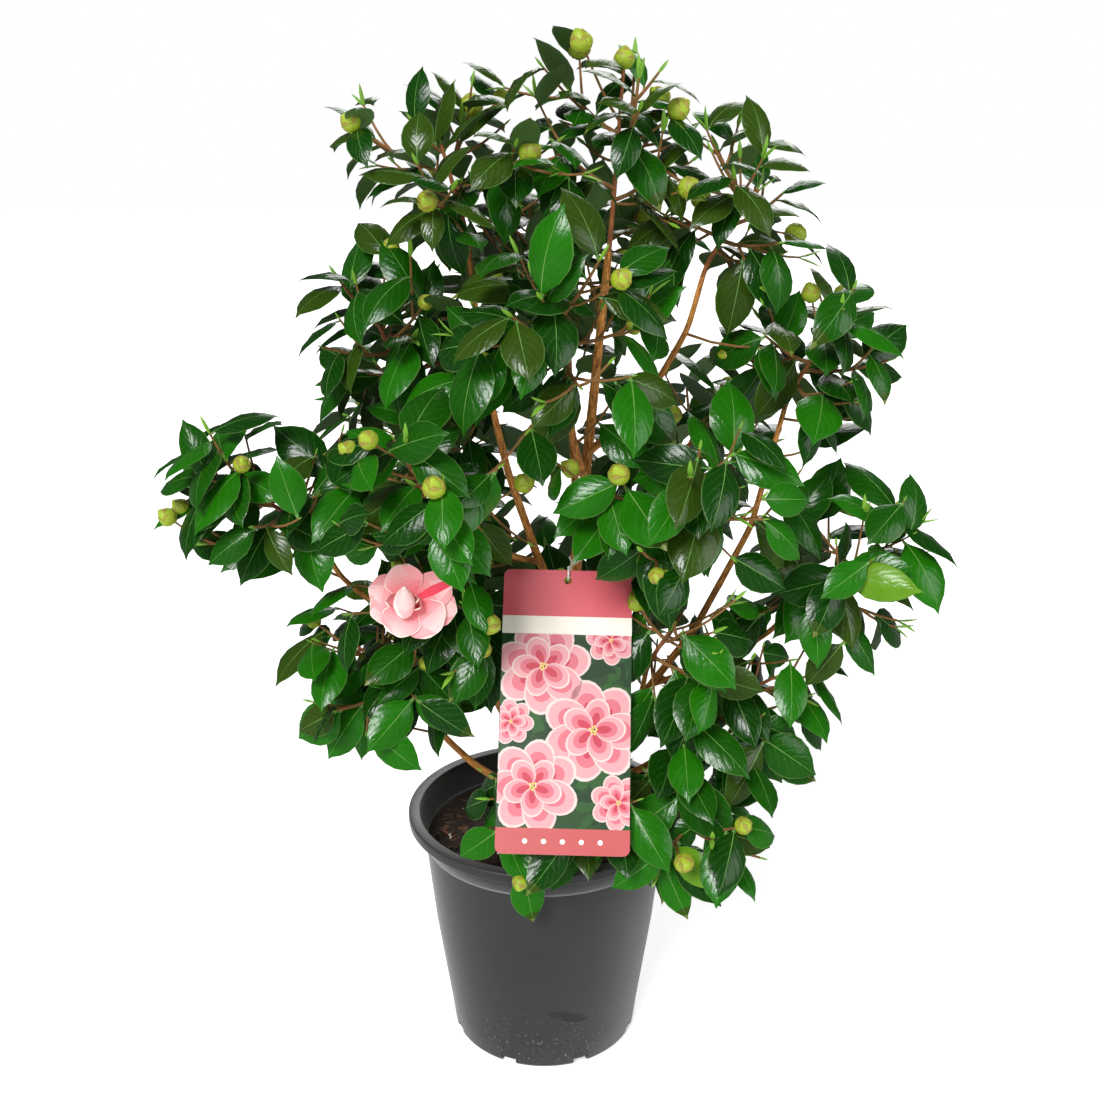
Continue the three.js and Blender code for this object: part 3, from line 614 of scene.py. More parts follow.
def hides_a_stem(p):
    away = p[:, None, :] - STEM_PLACES[None]
    before = (away * STEM_WAYS[None]).sum(axis=2)
    aside = np.linalg.norm(away - before[..., None] * STEM_WAYS[None], axis=2)
    return bool(np.any((before > SHOWN_FROM) & (aside < SHOWN_ROOM)))


class Canopy:
    """The leaves that have been set, so that each new one finds its own place."""

    def __init__(self):
        self.leaves = []
        self.middles = np.zeros((0, 3))
        self.points = np.zeros((0, 9, 3))
        self.uppers = np.zeros((0, 3))

    def has_room(self, points, middle):
        near = np.linalg.norm(self.middles - middle, axis=1) < NEIGHBOUR_REACH
        if not near.any():
            return True
        away = points[None, None, :, :] - self.points[near][:, :, None, :]
        lift = np.abs((away * self.uppers[near][:, None, None, :]).sum(axis=3))
        aside = np.sqrt(np.maximum(0, (away**2).sum(axis=3) - lift**2))
        return not np.any((lift < LEAF_LAYER) & (aside < LEAF_ASIDE))

    def add(self, leaf, points):
        self.leaves.append(leaf)
        self.middles = np.vstack([self.middles, points[4]])
        self.points = np.concatenate([self.points, points[None]])
        self.uppers = np.vstack([self.uppers, leaf.upper])

    def place(self, leaf, may_hide):
        points = leaf.test_points()
        if np.any(points < BOX_LOW) or np.any(points > BOX_HIGH):
            return False
        if not in_crown(points[:6], OUTLINE_ROOM) or not in_crown(points[6:], TIP_ROOM):
            return False
        if not clear_of_things(points) or not clear_of_limbs(points, LEAF_FREE_OF_LIMBS, leaf.root):
            return False
        if not may_hide and hides_a_stem(points):
            return False
        if not self.has_room(points, points[4]):
            return False
        self.add(leaf, points)
        return True


def leaf_up(shoot, canopy, settings):
    """Leaves stand round a shoot from its tip back, each turned until it finds room. Says how many did."""
    before = len(canopy.leaves)
    draw = Draws(LEAF_SEED + 17 * len(canopy.leaves) + int(shoot.limb.line[0][0] * 10) % 97)
    aside = square_to(shoot.way, UP)
    length = line_length(shoot.limb.line)
    may_hide = draw() < MAY_HIDE_SHARE
    for i, back in enumerate(LEAF_BACK):
        share = 1 - back * draw.spread(0.85, 1.15) / length
        if share < 0.12:
            break
        root = shoot.limb.at(share)
        for attempt in range(LEAF_TRIES):
            turn = GOLDEN_ANGLE * i + attempt * LEAF_TURN_ON + draw.spread(-0.3, 0.3)
            side_way = turned(aside, shoot.way, turn)
            size = settings.leaf_length / MM * draw.spread(*LEAF_SIZES) * (1 - 0.02 * attempt)
            if root[2] > TOP_FROM:
                size *= TOP_LEAVES[0] if i < 2 else TOP_LEAVES[1]
            if canopy.place(set_leaf(shoot, root, side_way, size, draw), may_hide):
                break
    return len(canopy.leaves) - before


class Growth:
    """All that grows: stems and twigs, finer shoots, leaves, and where the buds sit."""

    def __init__(self, settings):
        self.shoots, self.buds, self.young = [], [], []
        canopy = Canopy()
        for index in range(len(CROWN)):
            self.grow_mass(index)
        draw = Draws(SHOOT_SEED)
        for name in LIMBS:
            self.shoots += bough_shoots(name, draw)
        bare = set()
        for order in (1, 0, 2):
            for shoot in self.shoots:
                if shoot.order == order and leaf_up(shoot, canopy, settings) == 0:
                    bare.add(id(shoot))
        tipped = {tuple(tip) for tip, _, _ in self.buds + self.young}
        kept = [s for s in self.shoots if s.order < 2 or id(s) not in bare or tuple(s.tip) in tipped]
        for shoot in kept:
            if tuple(shoot.tip) not in tipped:
                self.young.append((shoot.tip, shoot.way, draw.spread(*LAST_YOUNG_SIZES)))
        self.shoots, self.leaves = kept, canopy.leaves

    def grow_mass(self, index):
        draw = Draws(GROWTH_SEED + 131 * index)
        stem = Shoot(bezier(*mass_stem(index), 8), *STEM_RADII, index, 0)
        twigs = [bent_shoot(a, b, TWIG_RADIUS, TWIG_TIP_RADIUS, index, 1) for a, b in mass_twigs(index)]
        finer = [shoot for twig in twigs + [stem] for shoot in side_shoots(twig, draw)]
        self.shoots += [stem, *twigs, *finer]
        for shoot in [stem, *twigs, *finer]:
            tip, way = shoot.tip, shoot.way
            reach = tip + way * BUD_REACH
            if draw() < BUD_SHARE * (1.1 if shoot.order < 2 else 0.5) and in_crown(reach[None], 1.0):
                self.buds.append((tip, way, draw.spread(*BUD_SIZES) + 0.15 * (tip[2] > TOP_FROM)))
            elif tip[2] > YOUNG_FROM or draw() < YOUNG_SHARE:
                self.young.append((tip, way, draw.spread(*YOUNG_SIZES)))


_GROWN = []


def grown():
    """The shrub's growth, worked out once and kept for the operators that model it."""
    if not _GROWN:
        _GROWN.append(Growth(bpy.context.scene.shrub_foliage))
    return _GROWN[0]


# ---- Meshes from many small shapes ---------------------------------------------------------------


class Gatherer:
    """Gathers the points, faces and finishes of many small shapes into one mesh."""

    def __init__(self):
        self.points, self.faces, self.finishes, self.maps = [], [], [], []
        self.count = 0

    def add(self, points, faces, finishes, places=None):
        points = np.asarray(points, float).reshape(-1, 3)
        self.points.append(points)
        self.faces += [tuple(i + self.count for i in face) for face in faces]
        self.finishes += [finishes] * len(faces) if isinstance(finishes, int) else list(finishes)
        self.maps.append(np.zeros((len(points), 2)) if places is None else np.asarray(places, float))
        self.count += len(points)

    def piece(self, name, materials, smooth=None):
        """The gathered shapes as one object, with its place in its mesh."""
        mesh = bpy.data.meshes.new(name)
        mesh.from_pydata((np.concatenate(self.points) * MM).tolist(), [], self.faces)
        mesh.polygons.foreach_set("material_index", self.finishes)
        corners = np.zeros(len(mesh.loops), int)
        mesh.loops.foreach_get("vertex_index", corners)
        mesh.uv_layers.new(name="place").data.foreach_set("uv", np.concatenate(self.maps)[corners].ravel())
        for material in materials:
            mesh.materials.append(material)
        piece = bpy.data.objects.new(name, mesh)
        bpy.context.scene.collection.objects.link(piece)
        mesh.update()
        if smooth is not None:
            smooth_edges(piece, smooth)
        return piece


def smooth_edges(piece, degrees):
    pick(piece)
    bpy.ops.object.shade_smooth_by_angle(angle=math.radians(degrees))


def ring_faces(rings, around, first=0):
    """The faces between rings of points, which are numbered on ring by ring from the first point."""
    return [
        (row + k, row + (k + 1) % around, row + around + (k + 1) % around, row + around + k)
        for row in range(first, first + (rings - 1) * around, around)
        for k in range(around)
    ]


def egg_faces(rings, around):
    """The faces of a closed round shape, whose points are its foot, its rings and its tip."""
    top = 1 + (rings - 1) * around
    foot = [(0, 1 + (k + 1) % around, 1 + k) for k in range(around)]
    tip = [(top + k, top + (k + 1) % around, top + around) for k in range(around)]
    return foot + ring_faces(rings, around, 1) + tip


def tube_shape(line, radii, sides, relief=None):
    """A closed tube's points, faces and a map of (round, along) in millimetres."""
    line, radii = np.asarray(line), np.asarray(radii)
    ways = np.gradient(line, axis=0)
    ways /= np.linalg.norm(ways, axis=1)[:, None]
    side = square_to(ways[0], np.array([1, 0.3, 0.2]))
    points, places = [], []
    for centre, radius, way, distance in zip(line, radii, ways, run_of(line)):
        side = square_to(way, side)
        other = np.cross(way, side)
        for k in range(sides):
            turn = FULL_TURN * k / sides
            r = radius * (1 if relief is None else relief(turn, distance))
            points.append(centre + side * r * math.cos(turn) + other * r * math.sin(turn))
            places.append((k / sides, distance))
    last = (len(line) - 1) * sides
    ends = [tuple(reversed(range(sides))), tuple(range(last, last + sides))]
    return points, ring_faces(len(line), sides) + ends, places


def blade_faces(stations, columns, upper_of, under):
    """The faces and finishes of a thin closed blade that ends in a point.

    Its upper side has `columns` points at each station. Its under side shares the two margins and has
    one more point at each station, under the middle.
    """
    top = lambda i, j: i * columns + j
    keel = lambda i: stations * columns + i
    tip = stations * (columns + 1)
    last = columns - 1
    faces, finishes = [], []
    for i in range(stations - 1):
        for j in range(last):
            faces.append((top(i, j), top(i, j + 1), top(i + 1, j + 1), top(i + 1, j)))
            finishes.append(upper_of(i, j))
        faces.append((top(i, 0), top(i + 1, 0), keel(i + 1), keel(i)))
        faces.append((keel(i), keel(i + 1), top(i + 1, last), top(i, last)))
        finishes += [under, under]
    end = stations - 1
    for j in range(last):
        faces.append((top(end, j), top(end, j + 1), tip))
        finishes.append(upper_of(end, j))
    faces += [(top(end, 0), tip, keel(end)), (keel(end), tip, top(end, last))]
    faces.append((*(top(0, j) for j in reversed(range(columns))), keel(0)))
    return faces, finishes + [under] * 3


# ---- Leaves --------------------------------------------------------------------------------------

LEAF_COLUMNS = np.array([-1, -0.5, -1e-6, 1e-6, 0.5, 1])
LEAF_STATIONS = np.array([0, 0.07, 0.18, 0.32, 0.48, 0.64, 0.79, 0.91])
LEAF_RIB = 0.007  # half the midrib's width, as a share of the leaf's length
LEAF_SKIN = 0.007  # the blade's thickness
PETIOLE = 0.014
BLADE_BASE = 0.76
BLADE_TIP = 1.14
DRAWN_TIP = 0.32  # how much narrower the last of the blade is drawn
QUILT = 0.05  # how far the blade swells between its side veins, as a share of its half width
SCORCH_SHARE = 0.08  # of the leaves have a yellowed tip
YELLOW_SHARE = 0.014
YELLOW_BELOW = 560
OLIVE_FROM = 640
DEEP, MIDDLE, BRIGHT, OLIVE, YELLOW, RIB, UNDER, SCORCH = range(8)


def leaf_half_width(a):
    """Half the blade's width at a share of the leaf's length, 1 where it is widest."""
    u = np.clip((a - 0.06) / 0.94, 0, 1)
    widest = BLADE_BASE / (BLADE_BASE + BLADE_TIP)
    drawn = 1 - DRAWN_TIP * np.clip((a - 0.79) / 0.12, 0, 1)
    return (u / widest) ** BLADE_BASE * ((1 - u) / (1 - widest)) ** BLADE_TIP * drawn


def leaf_shape(leaf, draw):
    """Points of a leaf: a petiole, a blade folded along its midrib, and a drawn tip that curls down."""
    half = leaf.width / 2
    fold, wave, phase = draw.spread(0.1, 0.36), draw.spread(0, 0.09), draw.spread(0, 6.28)
    twist = draw.spread(-0.2, 0.2)
    a = LEAF_STATIONS[:, None]
    x = LEAF_COLUMNS[None, :]
    width = np.maximum(PETIOLE, leaf_half_width(a) * half)
    tooth = 1 + 0.02 * (np.arange(len(LEAF_STATIONS))[:, None] % 2)
    across = np.where(np.abs(x) < 0.01, np.sign(x) * np.minimum(LEAF_RIB * (1.1 - a), width), x * width)
    across = np.where(np.abs(x) > 0.9, across * tooth, across)
    along = a + 0.04 * np.abs(x) * np.sin(np.pi * a) * (np.abs(x) > 0.01)
    lift = fold * np.abs(across) - 0.5 * np.abs(across) * np.abs(x)
    lift = lift + twist * across * a + wave * width * np.abs(x) * np.sin(8 * a + phase)
    swell = 1 - 2 * (np.arange(len(LEAF_STATIONS))[:, None] % 2)
    lift = lift + QUILT * width * swell * (np.abs(np.abs(x) - 0.5) < 0.1)
    top = leaf.points(along, across, lift)
    skin = np.where(LEAF_STATIONS < 0.09, 2 * PETIOLE, LEAF_SKIN)
    keel = leaf.points(LEAF_STATIONS, 0 * LEAF_STATIONS, -skin)
    tip = leaf.points(np.array([1.0]), np.array([0.0]), np.array([0.0]))
    return np.concatenate([top.reshape(-1, 3), keel, tip])


def leaf_map():
    """The leaf's own map, point by point: from margin to margin, and from its foot to its tip."""
    grid = [(0.5 + 0.5 * x, a) for a in LEAF_STATIONS for x in LEAF_COLUMNS]
    return grid + [(0.5, a) for a in LEAF_STATIONS] + [(0.5, 1.0)]


def leaf_part(station, strip, tint, scorched):
    """Which finish a strip of the leaf's upper side has."""
    if strip == 2 or station == 0:
        return RIB
    if scorched and station >= len(LEAF_STATIONS) - 2:
        return SCORCH if station == len(LEAF_STATIONS) - 1 else OLIVE
    return tint


def leaf_finish(leaf, draw):
    """Olive greens on top, deep ones within, bright ones low at the front, and a rare yellowed leaf."""
    if draw() < YELLOW_SHARE and leaf.root[2] < YELLOW_BELOW:
        return YELLOW
    high = share_below(-leaf.root[2], -OLIVE_FROM, 160)
    front = share_below(leaf.root[1], 20, 120)
    if draw() < 0.08 + 0.45 * high:
        return OLIVE
    bright = 0.6 * (0.2 + 0.55 * front * (1 - high))
    chance = draw()
    return BRIGHT if chance < bright else MIDDLE if chance < 0.3 + bright else DEEP


PARTS = {
    "top": ("crown_top", "top_left", "top_right", "front_top"),
    "left": ("left_shoulder", "left_arm", "left_low", "inner_left"),
    "right": ("right_shoulder", "right_arm", "right_low", "inner_right", "front_right_low"),
    "front": ("front_left", "front_right", "front_low"),
    "back": ("back_top", "back_left", "back_right", "back_low"),
}


def foliage_nodes(names):
    return ["foliage_" + name for name in names]


# ---- Finishes ------------------------------------------------------------------------------------

COLOUR_SOCKETS = ("Colour", "Colour A", "Colour B", "Vein")
VEINS = 7  # on each side of the midrib
VEIN_SWEEP = 0.3  # how far a side vein runs forward on its way to the margin
VEIN_SHARE = 0.24  # how pale a vein is between the leaf's green and the midrib's tone
MARGIN_SHARE = 0.8  # and the thin line along the margin


def connect(tree, socket, value):
    """Gives an input its value: a constant, or a link from another node."""
    if isinstance(value, bpy.types.NodeSocket):
        tree.links.new(value, socket)
    else:
        socket.default_value = value


def feed(tree, node, **inputs):
    """Gives a node its inputs. Their names have _ for a space here."""
    for name, value in inputs.items():
        connect(tree, node.inputs[name.replace("_", " ")], value)
    return node


def add_node(tree, kind, choices=None, **inputs):
    """A shader node with its choices made and its inputs given."""
    node = tree.nodes.new("ShaderNode" + kind)
    for name, choice in (choices or {}).items():
        setattr(node, name, choice)
    return feed(tree, node, **inputs)


def sum_of(tree, operation, *terms):
    node = add_node(tree, "Math", {"operation": operation})
    for socket, term in zip(node.inputs, terms):
        connect(tree, socket, term)
    return node.outputs["Value"]


def blended(tree, share, a, b):
    """Two colours mixed, with this share of the second."""
    return add_node(tree, "Mix", {"data_type": "RGBA"}, Factor=share, A=a, B=b).outputs["Result"]


def ramp(tree, value, low, high, low_gives=0.0, high_gives=1.0):
    """A value that runs from low to high, brought to another range and held within it."""
    ends = dict(From_Min=low, From_Max=high, To_Min=low_gives, To_Max=high_gives)
    return add_node(tree, "MapRange", Value=value, **ends).outputs["Result"]


def shade_group(name, inputs, outputs, build):
    """A shader node group with named sockets, built once."""
    if name in bpy.data.node_groups:
        return bpy.data.node_groups[name]
    group = bpy.data.node_groups.new(name, "ShaderNodeTree")
    for way, sockets in (("INPUT", inputs), ("OUTPUT", outputs)):
        for socket in sockets:
            kind = "NodeSocketColor" if socket in COLOUR_SOCKETS else "NodeSocketFloat"
            group.interface.new_socket(socket, in_out=way, socket_type=kind)
    given, out = group.nodes.new("NodeGroupInput"), group.nodes.new("NodeGroupOutput")
    feed(group, out, **build(group, given.outputs))
    return group


def mottle_group():
    """Two colours mixed in soft patches, with a roughness that follows them and a fine grain."""

    def build(tree, given):
        place = add_node(tree, "TexCoord").outputs["Object"]
        patches, grain = (
            add_node(tree, "TexNoise", Vector=place, Scale=given[scale], Detail=3).outputs["Fac"]
            for scale in ("Patch Scale", "Grain Scale")
        )
        return {
            "Colour": blended(tree, patches, given["Colour A"], given["Colour B"]),
            "Roughness": ramp(tree, patches, 0.3, 0.7, given["Rough Low"], given["Rough High"]),
            "Height": grain,
        }

    inputs = ("Colour A", "Colour B", "Patch Scale", "Grain Scale", "Rough Low", "Rough High")
    return shade_group("Mottle", inputs, ("Colour", "Roughness", "Height"), build)


def streak_group():
    """Fine streaks along a stem, by its own map of round and along."""

    def build(tree, given):
        place = add_node(tree, "UVMap", {"uv_map": "place"}).outputs["UV"]
        stretched = add_node(tree, "Mapping", Vector=place, Scale=(9, 0.06, 1)).outputs["Vector"]
        streaks = add_node(tree, "TexNoise", Vector=stretched, Scale=1.6, Detail=8, Roughness=0.74)
        sharper = add_node(tree, "ValToRGB", Fac=streaks.outputs["Fac"])
        for end, position in zip(sharper.color_ramp.elements, (0.4, 0.6)):
            end.position = position
        tint = blended(tree, sharper.outputs["Color"], given["Colour A"], given["Colour B"])
        return {"Colour": tint, "Height": streaks.outputs["Fac"]}

    return shade_group("Streaks", ("Colour A", "Colour B"), ("Colour", "Height"), build)


def vein_group():
    """Side veins that sweep forward from the midrib, a paler margin, and the swells between the veins."""

    def build(tree, given):
        place = add_node(tree, "UVMap", {"uv_map": "place"}).outputs["UV"]
        split = add_node(tree, "SeparateXYZ", Vector=place).outputs
        aside = sum_of(tree, "ABSOLUTE", sum_of(tree, "MULTIPLY_ADD", split["X"], 2.0, -1.0))
        run = sum_of(tree, "MULTIPLY", split["Y"], VEINS)
        run = sum_of(tree, "MULTIPLY_ADD", aside, -VEINS * VEIN_SWEEP, run)
        gap = sum_of(tree, "PINGPONG", sum_of(tree, "MULTIPLY_ADD", given["Height"], 0.8, run), 0.5)
        line = ramp(tree, gap, 0.02, 0.1, VEIN_SHARE, 0.0)
        fading = sum_of(tree, "SUBTRACT", 1.0, sum_of(tree, "POWER", aside, 4.0))
        margin = ramp(tree, aside, 0.94, 0.965, 0.0, MARGIN_SHARE)
        share = sum_of(tree, "MAXIMUM", sum_of(tree, "MULTIPLY", line, fading), margin)
        return {
            "Colour": blended(tree, share, given["Colour"], given["Vein"]),
            "Height": sum_of(tree, "MULTIPLY_ADD", given["Height"], 1.5, sum_of(tree, "SQRT", gap)),
        }

    return shade_group("Veins", ("Colour", "Vein", "Height"), ("Colour", "Height"), build)


def colour(hexed):
    """A linear colour from the usual six hex digits."""
    parts = [int(hexed[i : i + 2], 16) / 255 for i in (0, 2, 4)]
    return tuple(c / 12.92 if c <= 0.04045 else ((c + 0.055) / 1.055) ** 2.4 for c in parts) + (1,)


def tone(c, strength):
    """A colour made darker or lighter."""
    return (c[0] * strength, c[1] * strength, c[2] * strength, 1)


def new_material(name):
    material = bpy.data.materials.new(name)
    material.use_nodes = True
    return material, material.node_tree, material.node_tree.nodes["Principled BSDF"]


def mottle_node(tree, a, b, patch, grain, rough):
    ends = dict(Colour_A=a, Colour_B=b, Rough_Low=rough[0], Rough_High=rough[1])
    group = {"node_tree": mottle_group()}
    return add_node(tree, "Group", group, Patch_Scale=patch, Grain_Scale=grain, **ends).outputs


def bumped(tree, height, strength, depth):
    return add_node(tree, "Bump", Strength=strength, Distance=depth, Height=height).outputs["Normal"]


def mottled(
    name, a, b, patch=60, grain=900, rough=(0.4, 0.6), bump=0.1, depth=0.0003, vein=None, **shader
):
    """Soft patches of two colours with a changing gloss, a fine grain and, on a leaf, side veins."""
    if name in bpy.data.materials:
        return bpy.data.materials[name]
    material, tree, surface = new_material(name)
    mottle = pattern = mottle_node(tree, a, b, patch, grain, rough)
    if vein is not None:
        under = dict(Colour=mottle["Colour"], Height=mottle["Height"])
        pattern = add_node(tree, "Group", {"node_tree": vein_group()}, Vein=vein, **under).outputs
    normal = bumped(tree, pattern["Height"], bump, depth)
    feed(tree, surface, Base_Color=pattern["Colour"], Roughness=mottle["Roughness"], Normal=normal)
    feed(tree, surface, **shader)
    return material


def mottled_all(rows, **shared):
    """A mottled finish for each row: its name, its two colours and whatever it has of its own."""
    return [mottled(name, colour(a), colour(b), **{**shared, **dict(*own)}) for name, a, b, *own in rows]


def streaked(name, a, b):
    """Bark with fine streaks that follow the stem."""
    if name in bpy.data.materials:
        return bpy.data.materials[name]
    material, tree, surface = new_material(name)
    streaks = add_node(tree, "Group", {"node_tree": streak_group()}, Colour_A=a, Colour_B=b).outputs
    normal = bumped(tree, streaks["Height"], 0.8, 0.0012)
    feed(tree, surface, Base_Color=streaks["Colour"], Roughness=0.7, Normal=normal, Specular_IOR_Level=0.25)
    return material


def twig_bark():
    return streaked("twig_old", colour("b87444"), colour("7e4e2e"))


def leaf_materials(settings):
    """The leaf's five greens, then its midrib, its underside and a yellowed tip."""
    rib, under = settings.rib, settings.under
    gloss = dict(patch=55, grain=200, rough=(0.15, 0.3), bump=0.35, depth=0.0006)
    gloss.update(vein=tone(rib, 0.5), Specular_IOR_Level=0.34)
    kinds = [("deep", settings.deep), ("mid", settings.middle)]
    kinds += [("bright", settings.bright), ("olive", settings.olive)]
    greens = [mottled("leaf_" + name, tone(c, 0.75), tone(c, 1.2), **gloss) for name, c in kinds]
    return greens + [
        mottled("leaf_yellow", colour("4c7d16"), colour("6c981e"), **gloss),
        mottled("leaf_rib", tone(rib, 0.75), tone(rib, 1.0), rough=(0.35, 0.5)),
        mottled("leaf_under", tone(under, 0.85), tone(under, 1.15), rough=(0.42, 0.6)),
        mottled("leaf_scorch", colour("4a6a1a"), colour("706c26"), patch=160, rough=(0.35, 0.5)),
    ]


# ---- Working by hand -----------------------------------------------------------------------------


def pick(*pieces):
    """Selects only these pieces, the first one active, in object mode."""
    if bpy.context.object and bpy.context.object.mode != "OBJECT":
        bpy.ops.object.mode_set(mode="OBJECT")
    bpy.ops.object.select_all(action="DESELECT")
    for piece in pieces:
        piece.select_set(True)
    if pieces:
        bpy.context.view_layer.objects.active = pieces[0]


def settle(piece):
    """Puts the piece's place, turn and size into its mesh."""
    pick(piece)
    bpy.ops.object.transform_apply(location=True, rotation=True, scale=True)


def cut_away(piece, name, cutter):
    """Takes the cutter's shape out of the piece, and then the cutter away."""
    cut = piece.modifiers.new(name, "BOOLEAN")
    cut.operation, cut.solver, cut.object = "DIFFERENCE", "EXACT", cutter
    pick(piece)
    bpy.ops.object.modifier_apply(modifier=name)
    bpy.data.objects.remove(cutter)


def dress(piece, materials):
    piece.data.materials.clear()
    for material in materials:
        piece.data.materials.append(material)


def seat(piece, slot, *nodes):
    """The piece rides on the shrub's one body and stands for its nodes. The slot is not used."""
    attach(piece, BODY)
    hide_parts(*nodes)


def turned_solid(name, rings, vertices):
    """A closed round solid drawn up ring by ring from its flat foot: each ring is (radius, height)."""
    pick()
    (radius, height), *rest = rings
    bpy.ops.mesh.primitive_circle_add(
        vertices=vertices, radius=radius * MM, fill_type="NGON", location=(0, 0, height * MM)
    )
    piece = bpy.context.object
    piece.name = piece.data.name = name
    bpy.ops.object.transform_apply(location=True)
    bpy.ops.object.mode_set(mode="EDIT")
    for next_radius, next_height in rest:
        rise = (0, 0, (next_height - height) * MM)
        bpy.ops.mesh.extrude_region_move(TRANSFORM_OT_translate={"value": rise})
        wider = next_radius / radius
        bpy.ops.transform.resize(value=(wider, wider, 1))
        radius, height = next_radius, next_height
    bpy.ops.mesh.select_all(action="SELECT")
    bpy.ops.mesh.normals_make_consistent(inside=False)
    bpy.ops.object.mode_set(mode="OBJECT")
    return piece


def arc(middle, height, radius, start, end, steps):
    """Points of (radius, height) along a round edge, its angles in degrees from straight out."""
    return [
        (middle + radius * math.cos(math.radians(a)), height + radius * math.sin(math.radians(a)))
        for a in np.linspace(start, end, steps + 1)
    ]


# ---- The operators: one for each piece or group of like pieces -----------------------------------


def colour_choice(name, description, hexed):
    """A colour to choose in the sidebar."""
    return bpy.props.FloatVectorProperty(
        name=name, description=description, subtype="COLOR", default=colour(hexed)[:3]
    )


def length_choice(name, description, metres):
    """A length to choose in the sidebar."""
    return bpy.props.FloatProperty(name=name, description=description, default=metres, unit="LENGTH")


def strength_choice(name, description, strength):
    """A light's strength to choose in the sidebar."""
    return bpy.props.FloatProperty(name=name, description=description, default=strength)


class FoliageSettings(bpy.types.PropertyGroup):
    leaf_length: length_choice("Leaf length", "Length of a full-grown leaf", 0.065)
    deep: colour_choice("Deep green", "Leaves within the crown", "0d3b04")
    middle: colour_choice("Middle green", "Most leaves", "144e04")
    bright: colour_choice("Bright green", "Leaves low at the front", "1b6504")
    olive: colour_choice("Olive green", "Leaves at the top", "2d460b")
    under: colour_choice("Underside", "The leaves' paler undersides", "4a6c34")
    rib: colour_choice("Midrib", "The pale midrib", "6a9a48")


class WoodSettings(bpy.types.PropertyGroup):
    light: colour_choice("Light bark", "The bark's lighter streaks", "eca352")
    dark: colour_choice("Dark bark", "The bark's darker streaks", "7c4a20")


class PotSettings(bpy.types.PropertyGroup):
    rim_radius: length_choice("Rim radius", "Outer radius of the pot's rim", POT_RIM * MM)
    plastic: colour_choice("Plastic", "Colour of the pot", "2b2b2c")


class LabelSettings(bpy.types.PropertyGroup):
    band: colour_choice("Bands", "The label's head and foot", "d8626c")
    cream: colour_choice("Stripe", "The pale stripe under the head", "f6efe2")
    ground: colour_choice("Panel", "Ground of the picture panel", "2f5424")


class BloomSettings(bpy.types.PropertyGroup):
    pale: colour_choice("Pale petal", "The petals' outer part", "f6c2c0")
    deep: colour_choice("Deep petal", "The petals' base and heart", "e8707c")


class StudioSettings(bpy.types.PropertyGroup):
    sky: strength_choice("Ambient", "Strength of the even white light", 0.36)
    sheen: strength_choice("Sheen", "Brightness of the room in mirror images", 0.07)
    sun: strength_choice("Main lamp", "Strength of the broad main light", 2.75)


FINISH_SEED, SOIL_SEED, PETAL_SEED, MOTIF_SEED = 300, 77, 41, 19


def leaves_piece(part, growth, settings):
    gather = Gatherer()
    masses = [NAMES.index(name) for name in PARTS[part]]
    draw = Draws(FINISH_SEED + len(part) * 7)
    stations, columns = len(LEAF_STATIONS), len(LEAF_COLUMNS)
    for leaf in growth.leaves:
        if leaf.mass not in masses:
            continue
        tint, scorched = leaf_finish(leaf, draw), draw() < SCORCH_SHARE
        part_of = lambda i, j: leaf_part(i, j, tint, scorched)
        faces, finishes = blade_faces(stations, columns, part_of, UNDER)
        gather.add(leaf_shape(leaf, draw), faces, finishes, leaf_map())
    piece = gather.piece("leaves_" + part, leaf_materials(settings), 50)
    seat(piece, "foliage", *foliage_nodes(PARTS[part]))


class SHRUB_OT_leaves(bpy.types.Operator):
    """Grow the leaves, joined into one piece for each part of the crown"""

    bl_idname = "shrub.leaves"
    bl_label = "Leaves"

    def execute(self, context):
        for part in PARTS:
            leaves_piece(part, grown(), context.scene.shrub_foliage)
        return {"FINISHED"}


TRUNK_SIDES, BOUGH_SIDES, STALK_SIDES, TWIG_SIDES = 20, 12, 10, 6


class SHRUB_OT_twigs(bpy.types.Operator):
    """Grow the twigs and finer shoots within the foliage"""

    bl_idname = "shrub.twigs"
    bl_label = "Twigs"

    def execute(self, context):
        gather = Gatherer()
        for shoot in grown().shoots:
            line, radii = shoot.limb.line.copy(), shoot.limb.radii
            if shoot.order == 0:
                line[0] -= unit(line[1] - line[0]) * 2
            points, faces, places = tube_shape(line, radii, TWIG_SIDES)
            gather.add(points, faces, min(shoot.order, 1), places)
        materials = [twig_bark(), streaked("twig_young", colour("a86c40"), colour("6a6230"))]
        seat(gather.piece("twigs", materials, 60), "bark", *foliage_nodes(NAMES))
        return {"FINISHED"}


def bark_relief(seed):
    """Low ridges and swellings round a stem."""

    def relief(turn, distance):
        broad = 0.035 * math.sin(3 * turn + seed + distance * 0.021)
        narrow = 0.025 * math.sin(5 * turn - distance * 0.05)
        joints = 0.06 * max(0, math.sin(distance * 0.115 + seed)) ** 8
        return 1 + (broad + narrow) + joints

    return relief


def fine_limb(limb, spacing=5):
    """A limb's line and radii at closer, even steps, with its corners smoothed."""
    steps = max(6, int(line_length(limb.line) / spacing))
    run = run_of(limb.line)
    places = np.linspace(0, run[-1], steps + 1)
    line = np.stack([np.interp(places, run, limb.line[:, k]) for k in range(3)], axis=1)
    for _ in range(4):
        line[1:-1] = (line[:-2] + line[1:-1] * 2 + line[2:]) / 4
    return line, np.interp(places, run, limb.radii)


